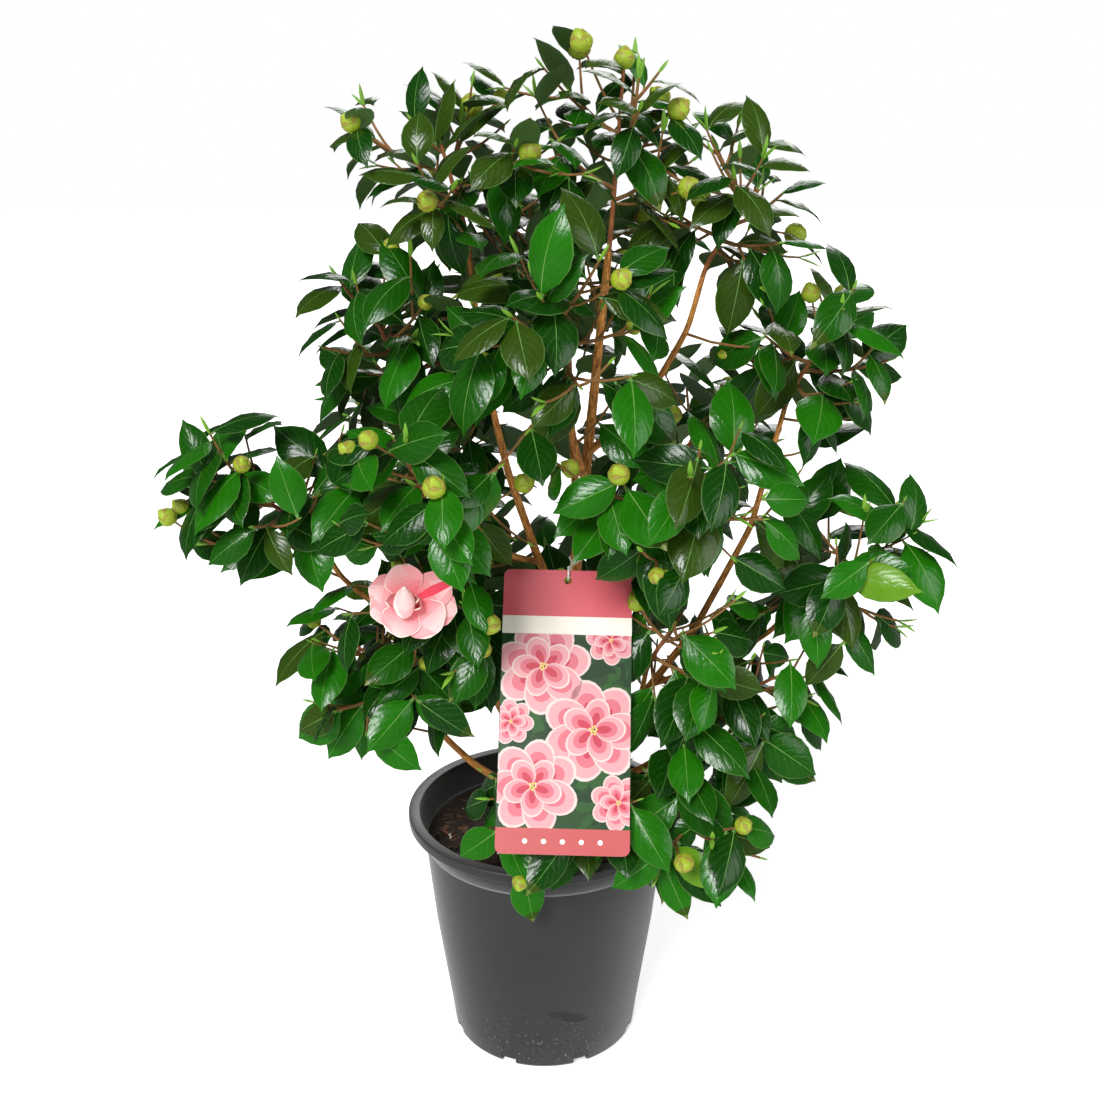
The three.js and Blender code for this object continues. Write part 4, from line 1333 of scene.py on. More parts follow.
class SHRUB_OT_limbs(bpy.types.Operator):
    """Model the trunk and the boughs with the relief of their bark"""

    bl_idname = "shrub.limbs"
    bl_label = "Trunk and boughs"

    def execute(self, context):
        settings = context.scene.shrub_wood
        bark = streaked("stem_bark", (*settings.light, 1), (*settings.dark, 1))
        trunk = Gatherer()
        line, radii = fine_limb(LIMBS["trunk"], 4)
        points, faces, places = tube_shape(line, radii, TRUNK_SIDES, bark_relief(1))
        for point in points[:TRUNK_SIDES]:
            point[2] = line[0][2]
        trunk.add(points, faces, 0, places)
        seat(trunk.piece("bark_trunk", [bark], 60), "bark", "trunk")
        boughs = Gatherer()
        names = [name for name in NAMES if name in LIMBS]
        for k, name in enumerate(names):
            line, radii = fine_limb(LIMBS[name])
            points, faces, places = tube_shape(line, radii, BOUGH_SIDES, bark_relief(k))
            boughs.add(points, faces, 0, places)
        seat(boughs.piece("bark_boughs", [bark], 60), "bark", *["bough_" + name for name in names])
        return {"FINISHED"}


def pot_rings():
    """The pot's profile from its underside, up its outside, over its rim and down to its floor."""
    shoulder = POT_HEIGHT - POT_LIP_HEIGHT
    collar_foot = shoulder - POT_COLLAR_HEIGHT
    rim = bpy.context.scene.shrub_pot.rim_radius / MM
    inner = rim - POT_LIP_WIDTH
    return [
        (POT_BASE - POT_CHAMFER - 6, 1.2),
        (POT_BASE - POT_CHAMFER - 4, 0),
        *arc(POT_BASE - POT_CHAMFER, POT_CHAMFER, POT_CHAMFER, -90, -10, 4),
        (POT_BASE + 3, 28),
        (POT_WALL_TOP - 9, 120),
        (POT_WALL_TOP - 0.3, collar_foot - 1.6),
        (POT_WALL_TOP + 0.9, collar_foot - 0.9),
        (POT_WALL_TOP + 1.5, collar_foot + 0.1),
        (POT_WALL_TOP + 1.3, collar_foot + 1.0),
        (POT_WALL_TOP + 2.4, collar_foot + 2.2),
        (POT_COLLAR - 0.6, shoulder - 3),
        (POT_COLLAR, shoulder - 0.6),
        (POT_COLLAR + 1.2, shoulder + 0.2),
        (rim - 1.4, shoulder + 0.6),
        *arc(rim - 1.2, shoulder + 1.9, 1.2, -70, 0, 3),
        *arc(rim - 1.3, POT_HEIGHT - 1.3, 1.3, 0, 90, 4),
        *arc(inner + 1, POT_HEIGHT - 1, 1, 90, 180, 3),
        (inner - 0.8, shoulder - 4),
        (POT_WALL_TOP - POT_WALL, collar_foot),
        (POT_BASE - POT_WALL, POT_FLOOR + 2),
        (POT_BASE - POT_WALL - 2, POT_FLOOR),
    ]


SCUFF_PLACE = (0.024, -0.098, 0.06)
SCUFF_TILT = math.radians(20)
SCUFF_SIZE = (0.023, 0.02, 0.006)
DUSTED_UP_TO = 0.1


class SHRUB_OT_pot(bpy.types.Operator):
    """Model the nursery pot with its rolled rim, collar and drainage slots"""

    bl_idname = "shrub.pot"
    bl_label = "Pot"

    def execute(self, context):
        pot = turned_solid("nursery_pot", pot_rings(), 128)
        cutters = []
        reach = (POT_BASE - 4) * MM
        for i in range(POT_DRAINS):
            turn = (i + 0.5) * FULL_TURN / POT_DRAINS
            pick()
            bpy.ops.mesh.primitive_cube_add(
                size=1,
                location=(reach * math.sin(turn), -reach * math.cos(turn), 3 * MM),
                rotation=(0, 0, turn),
                scale=(DRAIN_WIDTH * MM, DRAIN_DEPTH * MM, DRAIN_HEIGHT * MM),
            )
            cutters.append(bpy.context.object)
        pick(*cutters)
        bpy.ops.object.join()
        cutter = bpy.context.object
        settle(cutter)
        cut_away(pot, "slots", cutter)
        dress(pot, [pot_plastic(context.scene.shrub_pot.plastic)])
        smooth_edges(pot, 35)
        seat(pot, "pot", "pot")
        return {"FINISHED"}


def scuffed(tree, place, under):
    """The plastic's colour with one dark scuff low on the front."""
    patch = dict(Location=SCUFF_PLACE, Rotation=(0, SCUFF_TILT, 0), Scale=SCUFF_SIZE)
    around = add_node(tree, "Mapping", {"vector_type": "TEXTURE"}, Vector=place, **patch)
    spot = add_node(tree, "TexGradient", {"gradient_type": "SPHERICAL"}, Vector=around.outputs["Vector"])
    share = ramp(tree, spot.outputs["Fac"], 0.0, 0.15, 0.0, 0.75)
    return blended(tree, share, under, colour("171718"))


def painted_bead_highlight(tree, height, under):
    """The colour painted paler in a narrow band along the bead at the collar's foot: a painted highlight
    line.
    """
    bead = (POT_HEIGHT - POT_LIP_HEIGHT - POT_COLLAR_HEIGHT + 0.4) * MM
    # a paler grey band at the bead's height is a painted highlight, not wear
    return blended(tree, sum_of(tree, "COMPARE", height, bead, 0.7 * MM), under, colour("67696b"))


def dusted(tree, place, height, under):
    """The colour with specks of grit that thin out upwards."""
    specks = add_node(tree, "TexNoise", Vector=place, Scale=520, Detail=1).outputs["Fac"]
    share = sum_of(tree, "MULTIPLY", ramp(tree, height, DUSTED_UP_TO, 0.0), ramp(tree, specks, 0.68, 0.74))
    return blended(tree, share, under, colour("8d8478"))


def pot_plastic(plastic):
    """Matt black plastic with a dull sheen, a highlight line painted along the collar's bead and a dusting
    of grit low down.
    """
    material, tree, surface = new_material("pot_plastic")
    mottle = mottle_node(tree, tone(plastic, 0.85), tone(plastic, 1.25), 9, 1400, (0.36, 0.5))
    place = add_node(tree, "TexCoord").outputs["Object"]
    height = add_node(tree, "SeparateXYZ", Vector=place).outputs["Z"]
    # the plastic's tone with its scuff, a painted highlight line along the bead, and grit low down
    tint = dusted(tree, place, height, painted_bead_highlight(tree, height, scuffed(tree, place, mottle["Colour"])))
    normal = bumped(tree, mottle["Height"], 0.12, 0.0003)
    feed(tree, surface, Base_Color=tint, Roughness=mottle["Roughness"], Normal=normal)
    feed(tree, surface, Specular_IOR_Level=0.6, Sheen_Weight=0.5, Sheen_Roughness=0.4)
    return material


SOIL_EDGE_DROP = 4
SOIL_LEVEL_TO = 40  # the soil falls away outside this radius
SOIL_GRID = 16  # rings of faces on its top
SOIL_STEP = 6.4  # and the width of each


def soil_height(x, y):
    """The soil's uneven top, in millimetres."""
    radius = math.hypot(x, y)
    fall = SOIL_EDGE_DROP * max(0, (radius - SOIL_LEVEL_TO) / (POT_WALL_TOP - SOIL_LEVEL_TO))
    bumps = 1.6 * math.sin(x * 0.11 + 1.2) * math.cos(y * 0.13) + 1.1 * math.sin(x * 0.31 - y * 0.27)
    return SOIL_TOP - 2 - fall + bumps


class SHRUB_OT_soil(bpy.types.Operator):
    """Model the potting mix with its bark chips, white grit and dry scraps"""

    bl_idname = "shrub.soil"
    bl_label = "Potting mix"

    def execute(self, context):
        gap = CLEAR + 0.2
        edge = SOIL_TOP - SOIL_EDGE_DROP
        wall = np.interp(edge, [POT_FLOOR + 2, POT_COLLAR_FOOT], [POT_BASE, POT_WALL_TOP]) - POT_WALL - gap
        foot = POT_BASE - POT_WALL
        rings = [(foot - 3, POT_FLOOR + CLEAR), (foot - gap, POT_FLOOR + 4), (wall, edge)]
        soil = turned_solid("potting_mix", rings, 96)
        pick(soil)
        bpy.ops.object.mode_set(mode="EDIT")
        bpy.ops.mesh.select_all(action="DESELECT")
        bpy.ops.object.mode_set(mode="OBJECT")
        for face in soil.data.polygons:
            face.select = face.normal.z > 0.9
        bpy.ops.object.mode_set(mode="EDIT")
        for _ in range(SOIL_GRID):
            bpy.ops.mesh.inset(thickness=SOIL_STEP * MM, depth=0)
        bpy.ops.object.mode_set(mode="OBJECT")
        for point in soil.data.vertices:
            x, y, z = point.co / MM
            if z > edge - 1 and math.hypot(x, y) < wall - 3:
                point.co.z = soil_height(x, y) * MM
        rough = dict(patch=160, grain=500, rough=(0.85, 1), bump=1, depth=0.002)
        dress(soil, mottled_all([("potting_mix", "33241a", "1f1610", rough)]))
        seat(soil, "soil", "soil")
        seat(soil_bits(), "soil", "soil")
        return {"FINISHED"}


# What lies on the soil: how many of each, the ranges of their length, width and depth, and their finishes.
SOIL_BITS = [
    (620, (4, 12), (2.5, 6), (1.2, 3), (0, 1)),  # chips of bark
    (60, (1.6, 3.2), (1.5, 3), (1.4, 2.6), (2, 2)),  # white grit
    (26, (10, 22), (4, 10), (0.6, 1.2), (3, 3)),  # dry scraps
]
BOX_CORNERS = [(-1, -1), (1, -1), (1, 1), (-1, 1)]
BOX_FACES = [(0, 3, 2, 1), (4, 5, 6, 7), (0, 1, 5, 4), (1, 2, 6, 5), (2, 3, 7, 6), (3, 0, 4, 7)]


def soil_bits():
    """Small uneven blocks that lie on the soil, each tilted its own way."""
    gather = Gatherer()
    draw = Draws(SOIL_SEED)
    corners = [np.array([x, y, z]) for z in (-1, 1) for x, y in BOX_CORNERS]
    shrunk = ((0.55, 1), (0.5, 1), (0.6, 1))
    for count, lengths, widths, depths, finish in SOIL_BITS:
        for _ in range(count):
            radius, turn = (POT_WALL_TOP - 8) * math.sqrt(draw()), draw.spread(0, FULL_TURN)
            x, y = radius * math.cos(turn), radius * math.sin(turn)
            if math.hypot(x - TRUNK_FOOT[0], y) < TRUNK_FLARE_RADIUS + 3:
                continue
            size = np.array([draw.spread(*lengths), draw.spread(*widths), draw.spread(*depths)]) / 2
            shape = [corner * size * [draw.spread(*ends) for ends in shrunk] for corner in corners]
            tilt = Matrix.Rotation(draw.spread(0, 6.28), 3, "Z")
            for axis in ("X", "Y"):
                tilt = tilt @ Matrix.Rotation(draw.spread(-0.5, 0.5), 3, axis)
            tilt = np.array(tilt)
            place = np.array([x, y, soil_height(x, y) + size[2] * 0.7])
            gather.add([place + tilt @ p for p in shape], BOX_FACES, finish[draw() >= 0.6])
    chip = dict(patch=300, bump=0.6, depth=0.001)
    materials = mottled_all([
        ("chip_dark", "3a2618", "23170f", chip),
        ("chip_tan", "6b482c", "4d3320", chip),
        ("grit", "e8e4da", "cfc9bb", dict(patch=500)),
        ("scrap", "c98d48", "9c6430", dict(patch=200, rough=(0.7, 0.9))),
    ], rough=(0.8, 0.95))
    return gather.piece("soil_bits", materials)


# ---- Buds ----------------------------------------------------------------------------------------

BUD_LENGTH = 23
BUD_RADIUS = 9.4
BUD_CORE = (6, 10)  # rings, and points round each
BUD_SCALES = 7
YOUNG_LENGTH = 13
YOUNG_RINGS = [(0, 0.9), (0.3, 1.75), (0.62, 1.5), (0.86, 0.7)]  # share of the length, radius
OPENED_FROM = 1.3  # the size from which a leaf bud has parted in two


def bud_radius(t):
    """A bud's radius at a share of its length: round at the foot, drawn to a blunt point."""
    return BUD_RADIUS * math.sin(math.pi * min(1, t**0.8)) ** 0.78 if 0 < t < 1 else 0


def bud_frame(way):
    side = square_to(way, UP)
    return side, np.cross(way, side)


def add_bud(gather, foot, way, size):
    """A round core wrapped in overlapping scales."""
    side, other = bud_frame(way)
    at = lambda t, turn, out: foot + size * (
        way * BUD_LENGTH * t + (side * math.cos(turn) + other * math.sin(turn)) * (bud_radius(t) + out)
    )
    rings, around = BUD_CORE
    core = [foot]
    for i in range(rings):
        core += [at((i + 0.5) / rings, FULL_TURN * k / around, -0.5) for k in range(around)]
    core.append(foot + way * BUD_LENGTH * 0.97 * size)
    gather.add(core, egg_faces(rings, around), 0)
    for s in range(BUD_SCALES):
        middle, low, high = GOLDEN_ANGLE * s, 0.02 + 0.045 * s, 0.5 + 0.07 * s
        add_scale(gather, at, middle, low, high, 0.55 + 0.1 * (s % 2))


def add_scale(gather, at, middle, low, high, proud, steps=5):
    """One scale: a rounded patch that lies on the bud and lifts a little at its brown edge."""
    outer, inner = [], []
    for i in range(steps):
        share = i / (steps - 1)
        t = low + (high - low) * share
        half = 1.05 * math.sqrt(max(0.02, 1 - share**3))
        for j in range(steps):
            turn = middle + half * (2 * j / (steps - 1) - 1)
            edge = max(share, abs(2 * j / (steps - 1) - 1)) ** 4
            outer.append(at(t, turn, proud * (0.35 + 0.65 * edge)))
            inner.append(at(t, turn, -1.0))
    index = lambda i, j: i * steps + j
    under = steps * steps
    faces, finishes = [], []
    for i in range(steps - 1):
        for j in range(steps - 1):
            a, b, c, d = index(i, j), index(i, j + 1), index(i + 1, j + 1), index(i + 1, j)
            faces += [(a, b, c, d), tuple(under + k for k in (a, d, c, b))]
            finishes += [1 if i == steps - 2 else 0, 0]
    last, back = steps - 1, range(steps - 2, -1, -1)
    rim = [index(0, j) for j in range(steps)] + [index(i, last) for i in range(1, steps)]
    rim += [index(last, j) for j in back] + [index(i, 0) for i in back[:-1]]
    for a, b in zip(rim, rim[1:] + rim[:1]):
        faces.append((b, a, a + under, b + under))
        finishes.append(1)
    gather.add(outer + inner, faces, finishes)


def add_young(gather, foot, way, size):
    """A leaf bud: one narrow spindle when small, and two narrow blades that part when it has opened."""
    side, other = bud_frame(way)
    opened = size > OPENED_FROM
    for lean in (-1, 1) if opened else (0,):
        blade_way = unit(way + side * 0.2 * lean)
        thin = 0.42 if opened else 0.8
        points = []
        for t, r in YOUNG_RINGS:
            middle = foot + size * (blade_way * YOUNG_LENGTH * t + side * lean * (0.4 + 2.2 * t * t))
            for a in np.arange(6) * math.pi / 3:
                points.append(middle + size * r * (side * math.cos(a) * thin + other * math.sin(a)))
        points.append(foot + size * (blade_way * YOUNG_LENGTH + side * lean * 2.6))
        top = 6 * (len(YOUNG_RINGS) - 1)
        faces = [tuple(reversed(range(6))), *ring_faces(len(YOUNG_RINGS), 6)]
        faces += [(top + k, top + (k + 1) % 6, top + 6) for k in range(6)]
        gather.add(points, faces, 2)


class SHRUB_OT_buds(bpy.types.Operator):
    """Set the round flower buds and the narrow leaf buds on the shoots' tips"""

    bl_idname = "shrub.buds"
    bl_label = "Buds"

    def execute(self, context):
        gather = Gatherer()
        for tip, way, size in grown().buds:
            add_bud(gather, tip - way * 1.5, way, size)
        for tip, way, size in grown().young:
            add_young(gather, tip - way, way, size)
        materials = mottled_all([
            ("bud_green", "a6bc2c", "8aa322", dict(patch=180, rough=(0.4, 0.55))),
            ("bud_edge", "8a7a2e", "a49c38", dict(patch=220, rough=(0.5, 0.65))),
            ("shoot_green", "84b438", "649c2a", dict(patch=120, rough=(0.35, 0.5))),
        ])
        seat(gather.piece("buds", materials, 45), "foliage", *foliage_nodes(NAMES))
        return {"FINISHED"}


# ---- The bloom -----------------------------------------------------------------------------------

PETAL_SKIN = 0.03
PETAL_STATIONS = np.array([0, 0.12, 0.26, 0.4, 0.53, 0.65, 0.76, 0.86, 0.93, 0.975, 1])
PETAL_COLUMNS = np.array([-1, -0.95, -0.75, -0.5, -0.25, 0, 0.25, 0.5, 0.75, 0.95, 1])
PETAL_TONES = 7
CREAM, CRIMSON = PETAL_TONES, PETAL_TONES + 1
PETAL_UNDER, HEART_FOOT = 3, 2
BLOOM_TALL, BLOOM_WIDE = 0.9, 1.08  # it isn't quite round
# Each petal from the back to the front: the way it points in degrees clockwise from the top, its length
# and half width as shares of the bloom's radius, its lean in from flat in degrees, and its cup.
PETALS = [
    (250, 0.98, 0.46, 2, 0.1),
    (288, 1.0, 0.48, 4, 0.12),
    (58, 1.02, 0.46, 4, 0.1),
    (104, 1.03, 0.48, 0, 0.08),
    (342, 0.98, 0.5, 12, 0.3),
    (200, 0.98, 0.52, 10, 0.28),
    (142, 1.02, 0.56, 7, 0.2),
    (266, 0.6, 0.34, 34, 0.4),
    (118, 0.52, 0.32, 50, 0.7),
    (74, 0.46, 0.28, 58, 0.8),
    (165, 0.4, 0.24, 58, 0.8),
]
FLASHED = 2  # the petal with the crimson flash
HEART_LENGTH = 0.96
HEART_RADIUS = 0.25
HEART_RINGS = (12, 24)  # rings, and points round each


def bloom_frame():
    facing = unit(BLOOM_FACING)
    up = square_to(facing, UP)
    return facing, up, np.cross(up, facing)


def petal_outline(a, x, half):
    """Shares along and across a petal: a grid pressed into an oval, narrowed at its foot."""
    u = 2 * a - 1
    along = 0.5 + 0.5 * u * np.sqrt(1 - x**2 / 2)
    return along, half * x * np.sqrt(1 - u**2 / 2) * (0.5 + 0.5 * np.minimum(1, along / 0.5))


def petal_finish(i, j, length, flashed):
    """Deep at the foot, paler by steps towards a cream edge."""
    last = len(PETAL_COLUMNS) - 2
    if flashed and abs(j - last / 2) < 1 and i < len(PETAL_STATIONS) - 1:
        return CRIMSON
    if i >= len(PETAL_STATIONS) - 2 or j in (0, last):
        return CREAM
    return int(min(PETAL_TONES - 1, max(0, (PETAL_STATIONS[i] * length - 0.1) / 0.11)))


def add_petal(gather, petal, draw, flashed=False):
    degrees, length, half, lean, cup = petal
    facing, up, right = bloom_frame()
    turn, lean = math.radians(degrees), math.radians(lean)
    out = up * math.cos(turn) * BLOOM_TALL + right * math.sin(turn) * BLOOM_WIDE
    side = np.cross(facing, unit(out))
    way = out * math.cos(lean) + facing * math.sin(lean)
    upper = facing * math.cos(lean) - out * math.sin(lean)
    size = BLOOM_RADIUS * length
    root = BLOOM_CENTRE - facing * BLOOM_RADIUS * 0.3 + out * BLOOM_RADIUS * 0.03
    frill, phase = draw.spread(0.02, 0.045), draw.spread(0, 6.28)
    a, x = PETAL_STATIONS[:, None], PETAL_COLUMNS[None, :]
    forward, across = petal_outline(a, x, half)
    curl = 0.55 * np.maximum(0, forward - 0.6) ** 2 * (1 if length > 0.6 else -0.8)
    wave = frill * np.sin(4 * x + phase) * a**2
    lift = cup * (forward * (forward - 1) * 0.8 + x**2 * 0.3 * a) - curl + wave
    forward = forward + 0.014 * np.sin(6 * x + phase) * a**3
    place = lambda along, across, lift: (
        root + size * (along[..., None] * way + across[..., None] * side + lift[..., None] * upper)
    )
    top = place(forward, across, lift)
    middle = len(PETAL_COLUMNS) // 2
    keel = top[:, middle] - upper * PETAL_SKIN * BLOOM_RADIUS
    tip = top[-1:, middle] + way * size * 0.002
    finish = lambda i, j: petal_finish(i, j, length, flashed)
    faces, finishes = blade_faces(len(PETAL_STATIONS), len(PETAL_COLUMNS), finish, PETAL_UNDER)
    gather.add(np.concatenate([top.reshape(-1, 3), keel, tip]), faces, finishes)


def add_heart(gather):
    """The closed heart: an egg of furled petals that leans up out of the bloom."""
    facing, up, right = bloom_frame()
    lean = unit(facing * 0.6 + up * 0.78 + right * 0.08)
    tall = square_to(lean, up)
    broad = np.cross(lean, tall)
    foot = BLOOM_CENTRE - BLOOM_RADIUS * (facing * 0.22 + up * 0.42 + right * 0.12)
    rings, around = HEART_RINGS
    points = [foot]
    for i in range(rings):
        t = (i + 0.6) / rings
        swell = math.sin(math.pi * t**0.85) ** 0.75
        for k in range(around):
            turn = FULL_TURN * k / around
            furl = ((turn * 2 / (2 * math.pi) + 0.7 * t) % 1) ** 4
            reach = BLOOM_RADIUS * HEART_RADIUS * swell * (1 + 0.14 * furl)
            centre = foot + lean * BLOOM_RADIUS * HEART_LENGTH * t
            points.append(centre + (tall * math.cos(turn) * 1.05 + broad * math.sin(turn)) * reach)
    points.append(foot + lean * BLOOM_RADIUS * HEART_LENGTH)
    pale = PETAL_TONES - 1
    finishes = [HEART_FOOT] * around
    for i in range(rings - 1):
        for k in range(around):
            furl = (k * 2 / around + 0.7 * i / rings) % 1
            finishes.append(CREAM if furl > 0.86 else pale if i > 4 else pale - 1)
    gather.add(points, egg_faces(rings, around), finishes + [CREAM] * around)


class SHRUB_OT_bloom(bpy.types.Operator):
    """Open the one bloom on its flowering twig"""

    bl_idname = "shrub.bloom"
    bl_label = "Bloom"

    def execute(self, context):
        settings = context.scene.shrub_bloom
        gather = Gatherer()
        draw = Draws(PETAL_SEED)
        for number, petal in enumerate(PETALS):
            add_petal(gather, petal, draw, number == FLASHED)
        add_heart(gather)
        soft = dict(patch=120, grain=900, rough=(0.5, 0.65), bump=0.15)
        steps = [k / (PETAL_TONES - 1) for k in range(PETAL_TONES)]
        tints = [mix(np.array(settings.deep), np.array(settings.pale), step) for step in steps]
        materials = [
            mottled("petal_tone_%d" % number, tone(tint, 1), tone(tint, 0.93), **soft)
            for number, tint in enumerate(tints, 1)
        ]
        materials += mottled_all([
            ("petal_cream", "f8e6da", "f4dad0"),
            ("petal_crimson", "e0203c", "e8405a"),
        ], **soft)
        seat(gather.piece("bloom_petals", materials, 60), "petal", "flowering_twig")
        stalk = Gatherer()
        line, radii = fine_limb(LIMBS["flower"], 6)
        points, faces, places = tube_shape(line, radii, STALK_SIDES, bark_relief(4))
        stalk.add(points, faces, 0, places)
        facing = unit(BLOOM_FACING)
        for k in range(5):
            add_scale_cup(stalk, facing, FULL_TURN * k / 5)
        materials = [twig_bark(), mottled("sepal", colour("7d9a3c"), colour("6a8432"), rough=(0.5, 0.6))]
        seat(stalk.piece("bloom_stalk", materials, 60), "petal", "flowering_twig")
        return {"FINISHED"}


def add_scale_cup(gather, facing, turn):
    """A green sepal that cups the back of the bloom."""
    out = turned(square_to(facing, UP), facing, turn)
    side = np.cross(facing, out)
    neck = LIMBS["flower"].line[-1]
    points = []
    for skin in (0, 0.8):
        for t, r, w in ((0, 2, 1.6), (3, 6, 4.5), (6, 10, 3.4), (8, 12, 1)):
            points += [neck + facing * t + out * (r + skin) + side * s * w for s in (-1, 1)]
    faces = []
    for i in range(3):
        a = 2 * i
        faces += [(a, a + 1, a + 3, a + 2), (a + 8, a + 10, a + 11, a + 9)]
        faces += [(a, a + 2, a + 10, a + 8), (a + 1, a + 9, a + 11, a + 3)]
    faces += [(0, 8, 9, 1), (6, 7, 15, 14)]
    gather.add(points, faces, 1)


# ---- The label -----------------------------------------------------------------------------------

LABEL_THICK = 1
LABEL_CORNER = 6
LABEL_HOLE = 3.5
# Where the bands meet, as shares of the label's length from its foot.
LABEL_FOOT_BAND = 0.088
LABEL_PANEL_TOP = 0.765
LABEL_STRIPE_TOP = 0.83
LABEL_SEAMS = (LABEL_FOOT_BAND, LABEL_PANEL_TOP, LABEL_STRIPE_TOP)
BAND_FINISHES = (4, 2, 1, 0)  # from the foot's band to the head's
LABEL_EDGE = 3
FOOT_PAINTED_SHADE = (0.74, 0.82, 0.68)  # the foot's band colour is made darker than the head's, as painted shade


def to_label(piece):
    """Moves a piece drawn flat at the origin to the label's place, tilted as it hangs."""
    piece.data.transform(Matrix.Scale(MM, 4) @ LABEL_PLACE)


def label_plate():
    """The label's flat plate with rounded corners, its face cut across where the bands meet."""
    pick()
    bpy.ops.mesh.primitive_plane_add(size=1, location=(0, 0, -LABEL_THICK / 2))
    plate = bpy.context.object
    plate.name = plate.data.name = "label_plate"
    plate.scale = (LABEL_WIDTH, LABEL_LENGTH, 1)
    settle(plate)
    bpy.ops.object.mode_set(mode="EDIT")
    bpy.ops.mesh.bevel(offset=LABEL_CORNER, segments=6, affect="VERTICES")
    for seam in LABEL_SEAMS:
        bpy.ops.mesh.select_all(action="SELECT")
        bpy.ops.mesh.bisect(plane_co=(0, LABEL_LENGTH * (seam - 0.5), 0), plane_no=(0, 1, 0))
    bpy.ops.mesh.select_all(action="SELECT")
    bpy.ops.mesh.extrude_region_move(TRANSFORM_OT_translate={"value": (0, 0, LABEL_THICK)})
    bpy.ops.mesh.select_all(action="SELECT")
    bpy.ops.mesh.normals_make_consistent(inside=False)
    bpy.ops.object.mode_set(mode="OBJECT")
    return plate


def label_materials(settings):
    """The head's band, the pale stripe, the panel, the plate's edge and the foot's band, which is darkened
    as painted shade.
    """
    gloss = dict(patch=20, grain=200, rough=(0.28, 0.36), bump=0.04, Specular_IOR_Level=0.3)
    # the foot's band takes the head's colour darkened: painted shade
    foot = [c * share for c, share in zip(settings.band, FOOT_PAINTED_SHADE)]
    pairs = [
        ("label_pink", tone(settings.band, 1), tone(settings.band, 1)),
        ("label_cream", tone(settings.cream, 1), tone(settings.cream, 1)),
        ("label_panel", tone(settings.ground, 1), colour("16301f")),
        ("label_edge", colour("f4f1ea"), colour("f4f1ea")),
        ("label_foot", tone(foot, 1), tone(foot, 1)),
    ]
    return [mottled(*pair, **gloss) for pair in pairs]


class SHRUB_OT_label(bpy.types.Operator):
    """Model the picture label: coloured bands and a panel of small blossoms"""

    bl_idname = "shrub.label"
    bl_label = "Label"

    def execute(self, context):
        plate = label_plate()
        pick()
        bpy.ops.mesh.primitive_cylinder_add(
            vertices=32, radius=LABEL_HOLE, depth=6, location=(0, LABEL_LENGTH / 2 - LABEL_HOLE_DROP, 0)
        )
        punch = bpy.context.object
        settle(punch)
        cut_away(plate, "hole", punch)
        dress(plate, label_materials(context.scene.shrub_label))
        for face in plate.data.polygons:
            height = face.center.y / LABEL_LENGTH + 0.5
            band = BAND_FINISHES[sum(height > seam for seam in LABEL_SEAMS)]
            face.material_index = band if face.normal.z > 0.5 else LABEL_EDGE
        to_label(plate)
        seat(plate, "label", "label")
        seat(label_motifs(), "label", "label")
        return {"FINISHED"}


INLAY = 0.05  # the step between the layers of the label's motifs


def kept_inside(outline, low, high):
    """The part of an outline that lies within a rectangle."""
    for axis, limit, sign in ((0, low[0], 1), (0, high[0], -1), (1, low[1], 1), (1, high[1], -1)):
        kept = []
        for here, after in zip(outline, outline[1:] + outline[:1]):
            a, b = (here[axis] - limit) * sign, (after[axis] - limit) * sign
            if a >= 0:
                kept.append(here)
            if (a >= 0) != (b >= 0):
                share = a / (a - b)
                kept.append(tuple(mix(here[n], after[n], share) for n in (0, 1)))
        outline = kept
    return outline


def panel_corners():
    edge = LABEL_WIDTH / 2 - 0.4
    return (-edge, LABEL_LENGTH * (LABEL_FOOT_BAND - 0.5)), (edge, LABEL_LENGTH * (LABEL_PANEL_TOP - 0.5))


def add_inlay(gather, outline, height, finish):
    """A flat shape a hair proud of the label's face."""
    count = len(outline)
    if count < 3:
        return
    base = LABEL_THICK / 2 - 0.05
    points = [(x, y, base) for x, y in outline] + [(x, y, base + 0.05 + height) for x, y in outline]
    faces = [tuple(reversed(range(count))), tuple(range(count, 2 * count))]
    faces += [(i, (i + 1) % count, (i + 1) % count + count, i + count) for i in range(count)]
    gather.add(points, faces, finish)


def oval(x, y, long, wide, turn, count=18, point=0.0):
    """An oval outline, drawn to a point at its far end by `point`."""
    out = []
    for k in range(count):
        a = FULL_TURN * k / count
        u, v = long * math.cos(a), wide * math.sin(a) * (1 - point * max(0, math.cos(a)))
        across = x + u * math.cos(turn) - v * math.sin(turn)
        out.append((across, y + u * math.sin(turn) + v * math.cos(turn)))
    return out


# The shades of a motif's petal: how far out it lies, its half length, its half width, and its finish.
MOTIF_SHADES = [(1, 0.44, 0.36, 0), (0.95, 0.405, 0.33, 1), (0.78, 0.3, 0.23, 7), (0.6, 0.22, 0.11, 6)]


def add_blossom(gather, x, y, size, turn, level, petals=7):
    """An open blossom of overlapping petals, each shaded from a white rim to rose at its foot."""
    whorls = [(petals, 0.56, 1.0, 0), (petals - 2, 0.34, 0.68, 0.45)]
    for whorl, (count, out, scale, turned_by) in enumerate(whorls):
        for k in range(count):
            a = turn + turned_by + FULL_TURN * k / count
            for n, (far, long, wide, finish) in enumerate(MOTIF_SHADES):
                reach = size * out * far
                middle = x + reach * math.cos(a), y + reach * math.sin(a)
                outline = oval(*middle, size * long * scale, size * wide * scale, a)
                height = INLAY * (level + whorl * 3 + 0.3 * k + 0.06 * n)
                add_inlay(gather, kept_inside(outline, *panel_corners()), height, finish)
    for k in range(9):
        a, reach = turn + GOLDEN_ANGLE * k, size * 0.03 * math.sqrt(k)
        dot = oval(x + reach * math.cos(a), y + reach * math.sin(a), size * 0.022, size * 0.022, 0, 10)
        add_inlay(gather, kept_inside(dot, *panel_corners()), INLAY * (level + 6), 2)


MOTIF_LEAVES = 150
FOOT_DOTS = 5
